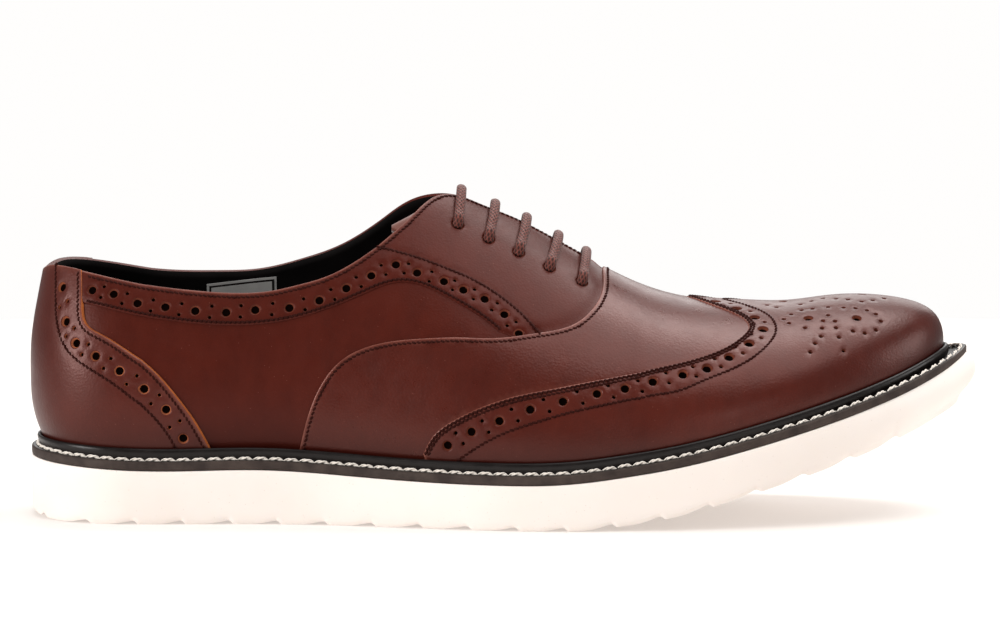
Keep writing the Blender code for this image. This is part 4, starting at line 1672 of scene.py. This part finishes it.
def tone(red, green, blue):
    """Colour from its usual 0 to 255 values."""
    values = np.array([red, green, blue]) / 255
    linear = np.where(values <= 0.04045, values / 12.92, ((values + 0.055) / 1.055) ** 2.4)
    return (*linear.tolist(), 1.0)


class Look:
    """A procedural material, with short calls that add one node and link it."""

    def __init__(self, name, **finish):
        self.mat = bpy.data.materials.new(name)
        self.mat.use_nodes = True
        self.tree = self.mat.node_tree
        self.shader = self.tree.nodes["Principled BSDF"]
        for key, value in finish.items():
            self.shader.inputs[key.replace("_", " ")].default_value = value
        self.place = self.node("ShaderNodeTexCoord").outputs["Object"]

    def node(self, kind, **settings):
        node = self.tree.nodes.new(kind)
        for key, value in settings.items():
            setattr(node, key, value)
        return node

    def put(self, value, socket):
        if isinstance(value, bpy.types.NodeSocket):
            self.tree.links.new(value, socket)
        else:
            socket.default_value = value

    def stretched(self, scale, turn=(0, 0, 0)):
        node = self.node("ShaderNodeMapping")
        self.put(self.place, node.inputs["Vector"])
        node.inputs["Scale"].default_value = scale
        node.inputs["Rotation"].default_value = turn
        return node.outputs["Vector"]

    def noise(self, scale, detail=2.0, rough=0.5, vector=None):
        node = self.node("ShaderNodeTexNoise")
        self.put(vector or self.place, node.inputs["Vector"])
        node.inputs["Scale"].default_value = scale
        node.inputs["Detail"].default_value = detail
        node.inputs["Roughness"].default_value = rough
        return node.outputs["Fac"]

    def cells(self, scale, feature="F1", vector=None):
        node = self.node("ShaderNodeTexVoronoi", feature=feature)
        self.put(vector or self.place, node.inputs["Vector"])
        node.inputs["Scale"].default_value = scale
        return node.outputs["Distance"]

    def number(self, name):
        return self.node("ShaderNodeAttribute", attribute_name=name).outputs["Fac"]

    def spread(self, value, low, high, to_low=0.0, to_high=1.0):
        node = self.node("ShaderNodeMapRange")
        for key, item in zip(("Value", "From Min", "From Max", "To Min", "To Max"),
                             (value, low, high, to_low, to_high)):
            self.put(item, node.inputs[key])
        return node.outputs["Result"]

    def maths(self, operation, a, b=0.0):
        node = self.node("ShaderNodeMath", operation=operation)
        self.put(a, node.inputs[0])
        self.put(b, node.inputs[1])
        return node.outputs[0]

    def mix(self, share, a, b):
        node = self.node("ShaderNodeMix", data_type="RGBA")
        self.put(share, node.inputs["Factor"])
        self.put(a, node.inputs["A"])
        self.put(b, node.inputs["B"])
        return node.outputs["Result"]

    def colour(self, value):
        self.put(value, self.shader.inputs["Base Color"])

    def rough(self, value):
        self.put(value, self.shader.inputs["Roughness"])

    def bump(self, height, strength, distance):
        node = self.node("ShaderNodeBump")
        self.put(height, node.inputs["Height"])
        node.inputs["Strength"].default_value = strength
        node.inputs["Distance"].default_value = distance
        socket = self.shader.inputs["Normal"]
        if socket.is_linked:
            self.put(socket.links[0].from_socket, node.inputs["Normal"])
        self.put(node.outputs["Normal"], socket)


DARK_BROWN = tone(48, 13, 8)
BROWN = tone(70, 22, 14)
WARM_BROWN = tone(80, 28, 18)
WARM_SHINE = tone(255, 212, 206)


def leather_look(name, gloss, sheen, depth):
    """Polished brown leather: cloudy dye and a fine pore grain, burnished darker at the toe and
    heel, with painted shade near the welt and over whole panels, and paler edges that are
    partly worn and partly a painted highlight.
    """
    look = Look(name, Specular_IOR_Level=gloss, Specular_Tint=WARM_SHINE)
    clouds = look.noise(26, 4, 0.55)
    streaks = look.noise(150, 3, 0.6, look.stretched((1, 1, 0.5)))
    body = look.mix(look.spread(clouds, 0.2, 0.8), BROWN, WARM_BROWN)
    body = look.mix(look.spread(streaks, 0.4, 0.8, 0, 0.4), body, DARK_BROWN)
    specks = look.spread(look.cells(420), 0.02, 0.07, 0.5, 0.0)
    body = look.mix(specks, body, tone(150, 96, 84))
    # depth darkens this panel's whole copy of the leather: painted shade for how light falls on it
    body = look.mix(depth, body, DARK_BROWN)
    # Darker by the shade number: burnished dye at the toe and heel, painted shade near the welt
    burnish_and_painted_shade = look.maths("MULTIPLY", look.number("shade"), look.spread(clouds, 0.25, 0.6, 0.75, 1.0))
    body = look.mix(burnish_and_painted_shade, body, DARK_BROWN)
    # Paler by the edge number: partly worn edges, partly a painted highlight on the rolled edges
    edge = look.maths("MULTIPLY", look.number("edge"), look.spread(streaks, 0.3, 0.6, 0.2, 0.6))
    look.colour(look.mix(edge, body, tone(150, 92, 78)))
    look.rough(look.spread(look.noise(180, 4, 0.65), 0.1, 0.9, sheen - 0.09, sheen + 0.1))
    look.bump(look.cells(1300), 0.22, 0.00015)
    look.bump(look.noise(520, 4, 0.7), 0.16, 0.0002)
    look.bump(look.noise(60, 2), 0.10, 0.0008)
    return look.mat


def plain_leather(name, main, other, roughness, scale=900, strength=0.25, shine=0.09):
    look = Look(name, Specular_IOR_Level=shine)
    grain = look.noise(scale, 4, 0.7)
    look.colour(look.mix(look.spread(look.noise(scale / 9, 3), 0.3, 0.7), main, other))
    look.rough(look.spread(grain, 0.2, 0.8, roughness - 0.08, roughness + 0.08))
    look.bump(grain, strength, 0.0002)
    return look.mat


def thread_look(name, main, other, roughness=0.6):
    look = Look(name, Specular_IOR_Level=0.1, Specular_Tint=WARM_SHINE)
    fibre = look.noise(2600, 3, 0.7)
    look.colour(look.mix(look.spread(fibre, 0.3, 0.7), main, other))
    look.rough(roughness)
    look.bump(fibre, 0.4, 0.0001)
    return look.mat


def lace_look():
    """Round waxed lace: a fine braid, with painted shade darkening the hollows between its strands."""
    look = Look("lace_brown", Specular_IOR_Level=0.45, Specular_Tint=WARM_SHINE, Sheen_Weight=0.1)
    weave = look.number("weave")
    fibre = look.noise(2400, 3, 0.7)
    body = look.mix(look.spread(fibre, 0.3, 0.75), tone(118, 62, 53), tone(92, 44, 36))
    # Painted shade: near-black where the weave number is low, in the hollows between strands
    look.colour(look.mix(look.spread(weave, 0.1, 0.75), tone(38, 14, 10), body))
    look.rough(look.spread(weave, 0.0, 1.0, 0.62, 0.46))
    look.bump(weave, 0.6, 0.0003)
    look.bump(fibre, 0.25, 0.0001)
    return look.mat


def sole_look():
    """Cream foam rubber with a fine matt skin and tiny specks."""
    look = Look("sole_cream", Specular_IOR_Level=0.4, Subsurface_Weight=0.08, Subsurface_Scale=0.002)
    look.shader.inputs["Subsurface Radius"].default_value = (1.0, 0.8, 0.6)
    specks = look.cells(520)
    tint = look.mix(look.spread(look.noise(30, 3), 0.3, 0.7), tone(243, 235, 229), tone(238, 228, 221))
    dirt = look.spread(specks, 0.03, 0.09, 0.35, 0.0)
    look.colour(look.mix(dirt, tint, tone(150, 128, 104)))
    look.rough(look.spread(look.noise(700, 3), 0.3, 0.7, 0.5, 0.62))
    look.bump(look.noise(900, 4, 0.6), 0.12, 0.00015)
    look.bump(look.noise(90, 2), 0.08, 0.0006)
    return look.mat


def welt_look(name, main, other, roughness, coat):
    look = Look(name, Specular_IOR_Level=0.25, Coat_Weight=coat, Coat_Roughness=0.2)
    clouds = look.noise(160, 4, 0.6)
    look.colour(look.mix(look.spread(clouds, 0.35, 0.65), main, other))
    look.rough(look.spread(clouds, 0.3, 0.7, roughness - 0.05, roughness + 0.07))
    look.bump(look.noise(1200, 3, 0.7, look.stretched((1, 1, 2.5))), 0.18, 0.0002)
    return look.mat


def suede_look():
    look = Look("tongue_suede", Specular_IOR_Level=0.2, Sheen_Weight=0.35)
    nap = look.noise(1800, 4, 0.7)
    look.colour(look.mix(look.spread(look.noise(150, 3), 0.3, 0.7), tone(88, 44, 34), tone(106, 58, 46)))
    look.rough(look.spread(nap, 0.3, 0.7, 0.75, 0.9))
    look.bump(nap, 0.4, 0.0003)
    return look.mat


def make_materials():
    # Per panel: gloss, roughness and a painted shade darkening of that panel's copy of the leather
    polish_and_painted_shade = {"quarter": (0.20, 0.36, 0.15), "vamp": (0.38, 0.30, 0.1), "cap": (0.36, 0.33, 0.0),
              "counter": (0.38, 0.38, 0.0), "facing": (0.20, 0.36, 0.15)}
    mats = {name: leather_look("leather_" + name, *finish) for name, finish in polish_and_painted_shade.items()}
    mats["edge"] = plain_leather("cut_edge", tone(134, 76, 62), tone(104, 54, 42), 0.7)
    mats["dark_edge"] = plain_leather("cut_edge_dark", tone(78, 32, 24), tone(60, 22, 16), 0.7)
    mats["orange_edge"] = plain_leather("cut_edge_tan", tone(186, 104, 54), tone(150, 78, 40), 0.75)
    mats["hole_wall"] = plain_leather("hole_wall", tone(112, 58, 42), tone(84, 38, 26), 0.8)
    mats["tan_wall"] = plain_leather("hole_wall_tan", tone(158, 92, 62), tone(124, 66, 42), 0.8)
    # Near-black floor of the punched holes and the needle holes: painted shade
    mats["hole"] = plain_leather("hole_painted_shade", tone(7, 3, 2), tone(12, 5, 4), 0.95, shine=0.0)
    mats["lining"] = plain_leather("lining_black", tone(10, 8, 8), tone(17, 14, 14), 0.6, shine=0.04)
    mats["footbed"] = plain_leather("footbed_black", tone(26, 22, 21), tone(38, 32, 30), 0.55)
    mats["patch"] = plain_leather("patch_grey", tone(172, 170, 168), tone(158, 156, 154), 0.6, 1500)
    mats["patch_border"] = plain_leather("patch_border", tone(20, 17, 17), tone(32, 27, 26), 0.5)
    mats["tongue"] = suede_look()
    mats["lace"] = lace_look()
    mats["thread"] = thread_look("thread_brown", tone(52, 19, 14), tone(35, 11, 8), 0.75)
    mats["cream_thread"] = thread_look("thread_cream", tone(250, 244, 236), tone(222, 212, 202), 0.75)
    mats["welt_edge"] = welt_look("welt_edge", tone(66, 55, 50), tone(48, 39, 36), 0.7, 0.0)
    mats["welt_lip"] = welt_look("welt_black", tone(14, 9, 8), tone(21, 15, 14), 0.34, 0.05)
    mats["sole"] = sole_look()
    mats["floor"] = floor_look()
    return mats


def floor_look():
    look = Look("floor_white", Specular_IOR_Level=0.2)
    look.colour(look.mix(look.noise(2, 2), tone(205, 202, 200), tone(209, 206, 204)))
    look.rough(0.7)
    look.shader.inputs["Emission Color"].default_value = tone(255, 248, 242)
    look.shader.inputs["Emission Strength"].default_value = 0.33
    return look.mat


# A blank patch on the lining

PATCH_ALONG = (56.5, 77.5)
PATCH_GIRTH = (41.0, 55.0)


def make_patch(mats):
    for name, grow, offset, mat in (("patch_rim", 1.0, LINING_FACE - 0.3, "patch"),
                                    ("patch_border", 0.2, LINING_FACE - 0.4, "patch_border"),
                                    ("patch_blank", -0.5, LINING_FACE - 0.5, "patch")):
        along = np.linspace(PATCH_ALONG[0] - grow, PATCH_ALONG[1] + grow, 24)
        girth = np.linspace(PATCH_GIRTH[0] - grow, PATCH_GIRTH[1] + grow, 16)
        places = np.stack(np.meshgrid(along, girth, indexing="ij"), -1)
        sheets = [layer(places, offset), layer(places, LINING_FACE - 0.05)]
        points = np.concatenate([sheet.reshape(-1, 3) for sheet in sheets])
        rows, cols = len(along), len(girth)
        faces = grid_faces(rows, cols)
        border = ([i * cols for i in range(rows)] + [(rows - 1) * cols + j for j in range(1, cols)]
                  + [i * cols + cols - 1 for i in range(rows - 2, -1, -1)]
                  + list(range(cols - 2, 0, -1)))
        for a, b in zip(border, border[1:] + border[:1]):
            faces.append((a, b, b + rows * cols, a + rows * cols))
        piece = add_piece("lining_" + name, points, faces, [mats[mat]], smooth=False)


# Floor, light and camera

FLOOR_REACH = 0.8


def make_stage(mat):
    mesh = bpy.data.meshes.new("floor")
    turn = np.linspace(0, 2 * np.pi, 96, endpoint=False)
    rim_points = FLOOR_REACH * np.stack([np.cos(turn), np.sin(turn), 0 * turn], -1)
    mesh.from_pydata(rim_points.tolist(), [], [tuple(range(len(turn)))])
    mesh.materials.append(mat)
    floor_obj = bpy.data.objects.new("floor", mesh)
    bpy.context.scene.collection.objects.link(floor_obj)


def aim(obj, place, target):
    obj.location = place
    obj.rotation_euler = (Vector(target) - Vector(place)).to_track_quat("-Z", "Y").to_euler()
    bpy.context.scene.collection.objects.link(obj)


LIGHTS = table("""
x     y     z     width  depth  power
0.35  -0.10 1.15  1.30   0.90   12
0.10  0.50  1.10  1.30   0.50   9
-1.55 -0.85 0.55  0.70   0.70   23
1.60  0.00  0.50  0.70   0.70   6.5
0.90  -1.90 0.35  0.50   0.50   2.5
0.10  1.60  0.80  1.60   0.80   8
""")


def make_lights():
    for k, (x, y, z, width, depth, power) in enumerate(columns(LIGHTS)):
        data = bpy.data.lights.new(f"softbox_{k}", "AREA")
        data.shape = "RECTANGLE"
        data.size = width
        data.size_y = depth
        data.energy = power
        data.color = (1.0, 0.985, 0.965)
        aim(bpy.data.objects.new(f"softbox_{k}", data), (x, y, z), (0, 0, 0.04))
    world = bpy.data.worlds.new("studio")
    world.use_nodes = True
    nodes = world.node_tree.nodes
    shade = nodes["Background"]
    shade.inputs["Color"].default_value = (1.0, 0.99, 0.98, 1)
    seen = nodes.new("ShaderNodeLightPath").outputs["Is Camera Ray"]
    level = nodes.new("ShaderNodeMapRange")
    level.inputs["To Min"].default_value = WORLD_LIGHT
    level.inputs["To Max"].default_value = 1.0
    world.node_tree.links.new(seen, level.inputs["Value"])
    world.node_tree.links.new(level.outputs["Result"], shade.inputs["Strength"])
    bpy.context.scene.world = world


WORLD_LIGHT = 0.25
CAMERA_PLACE = (-0.0014, -1.498, 0.184)
CAMERA_TARGET = (-0.0014, 0.002, 0.064)
CAMERA_LENS = 167.65


def make_camera():
    data = bpy.data.cameras.new("camera")
    data.sensor_width = 36.0
    data.lens = CAMERA_LENS
    data.clip_start = 0.05
    data.clip_end = 60.0
    camera = bpy.data.objects.new("camera", data)
    aim(camera, CAMERA_PLACE, CAMERA_TARGET)
    bpy.context.scene.camera = camera
    bpy.context.scene.view_settings.view_transform = "Standard"


def main():
    mats = make_materials()
    make_camera()
    make_lights()
    make_stage(mats["floor"])
    make_quarters(mats)
    stitched = []
    punched = [mats["hole_wall"], mats["hole"]]
    cap = [mats["cap"], mats["edge"], *punched]
    vamp = [mats["vamp"], mats["edge"], *punched]
    counter = [mats["counter"], mats["orange_edge"], mats["tan_wall"], mats["hole"]]
    facing = [mats["facing"], mats["dark_edge"], *punched]
    stitched += [(row, CAP_FACE) for row in make_wing_cap(cap)]
    stitched += [(row, VAMP_FACE) for row in make_vamp(vamp)]
    stitched += [(row, CAP_FACE) for row in make_counter(counter)]
    for side in (LATERAL, MEDIAL):
        stitched += [(row, FACING_FACE) for row in make_facing(side, facing)]
    threads = Parts()
    needle_shades = Parts()
    for row, face in stitched:
        stitch_row(threads, needle_shades, row, face)
    threads.piece("upper_thread", [mats["thread"]])
    needle_shades.piece("needle_hole_shades", [mats["hole"]])
    make_tongue(mats["tongue"])
    make_laces(mats["lace"])
    make_patch(mats)
    make_welt([mats["welt_edge"], mats["welt_lip"]])
    make_welt_stitches(mats["cream_thread"])
    make_outsole(mats["sole"])
    make_insole(mats["footbed"])


main()
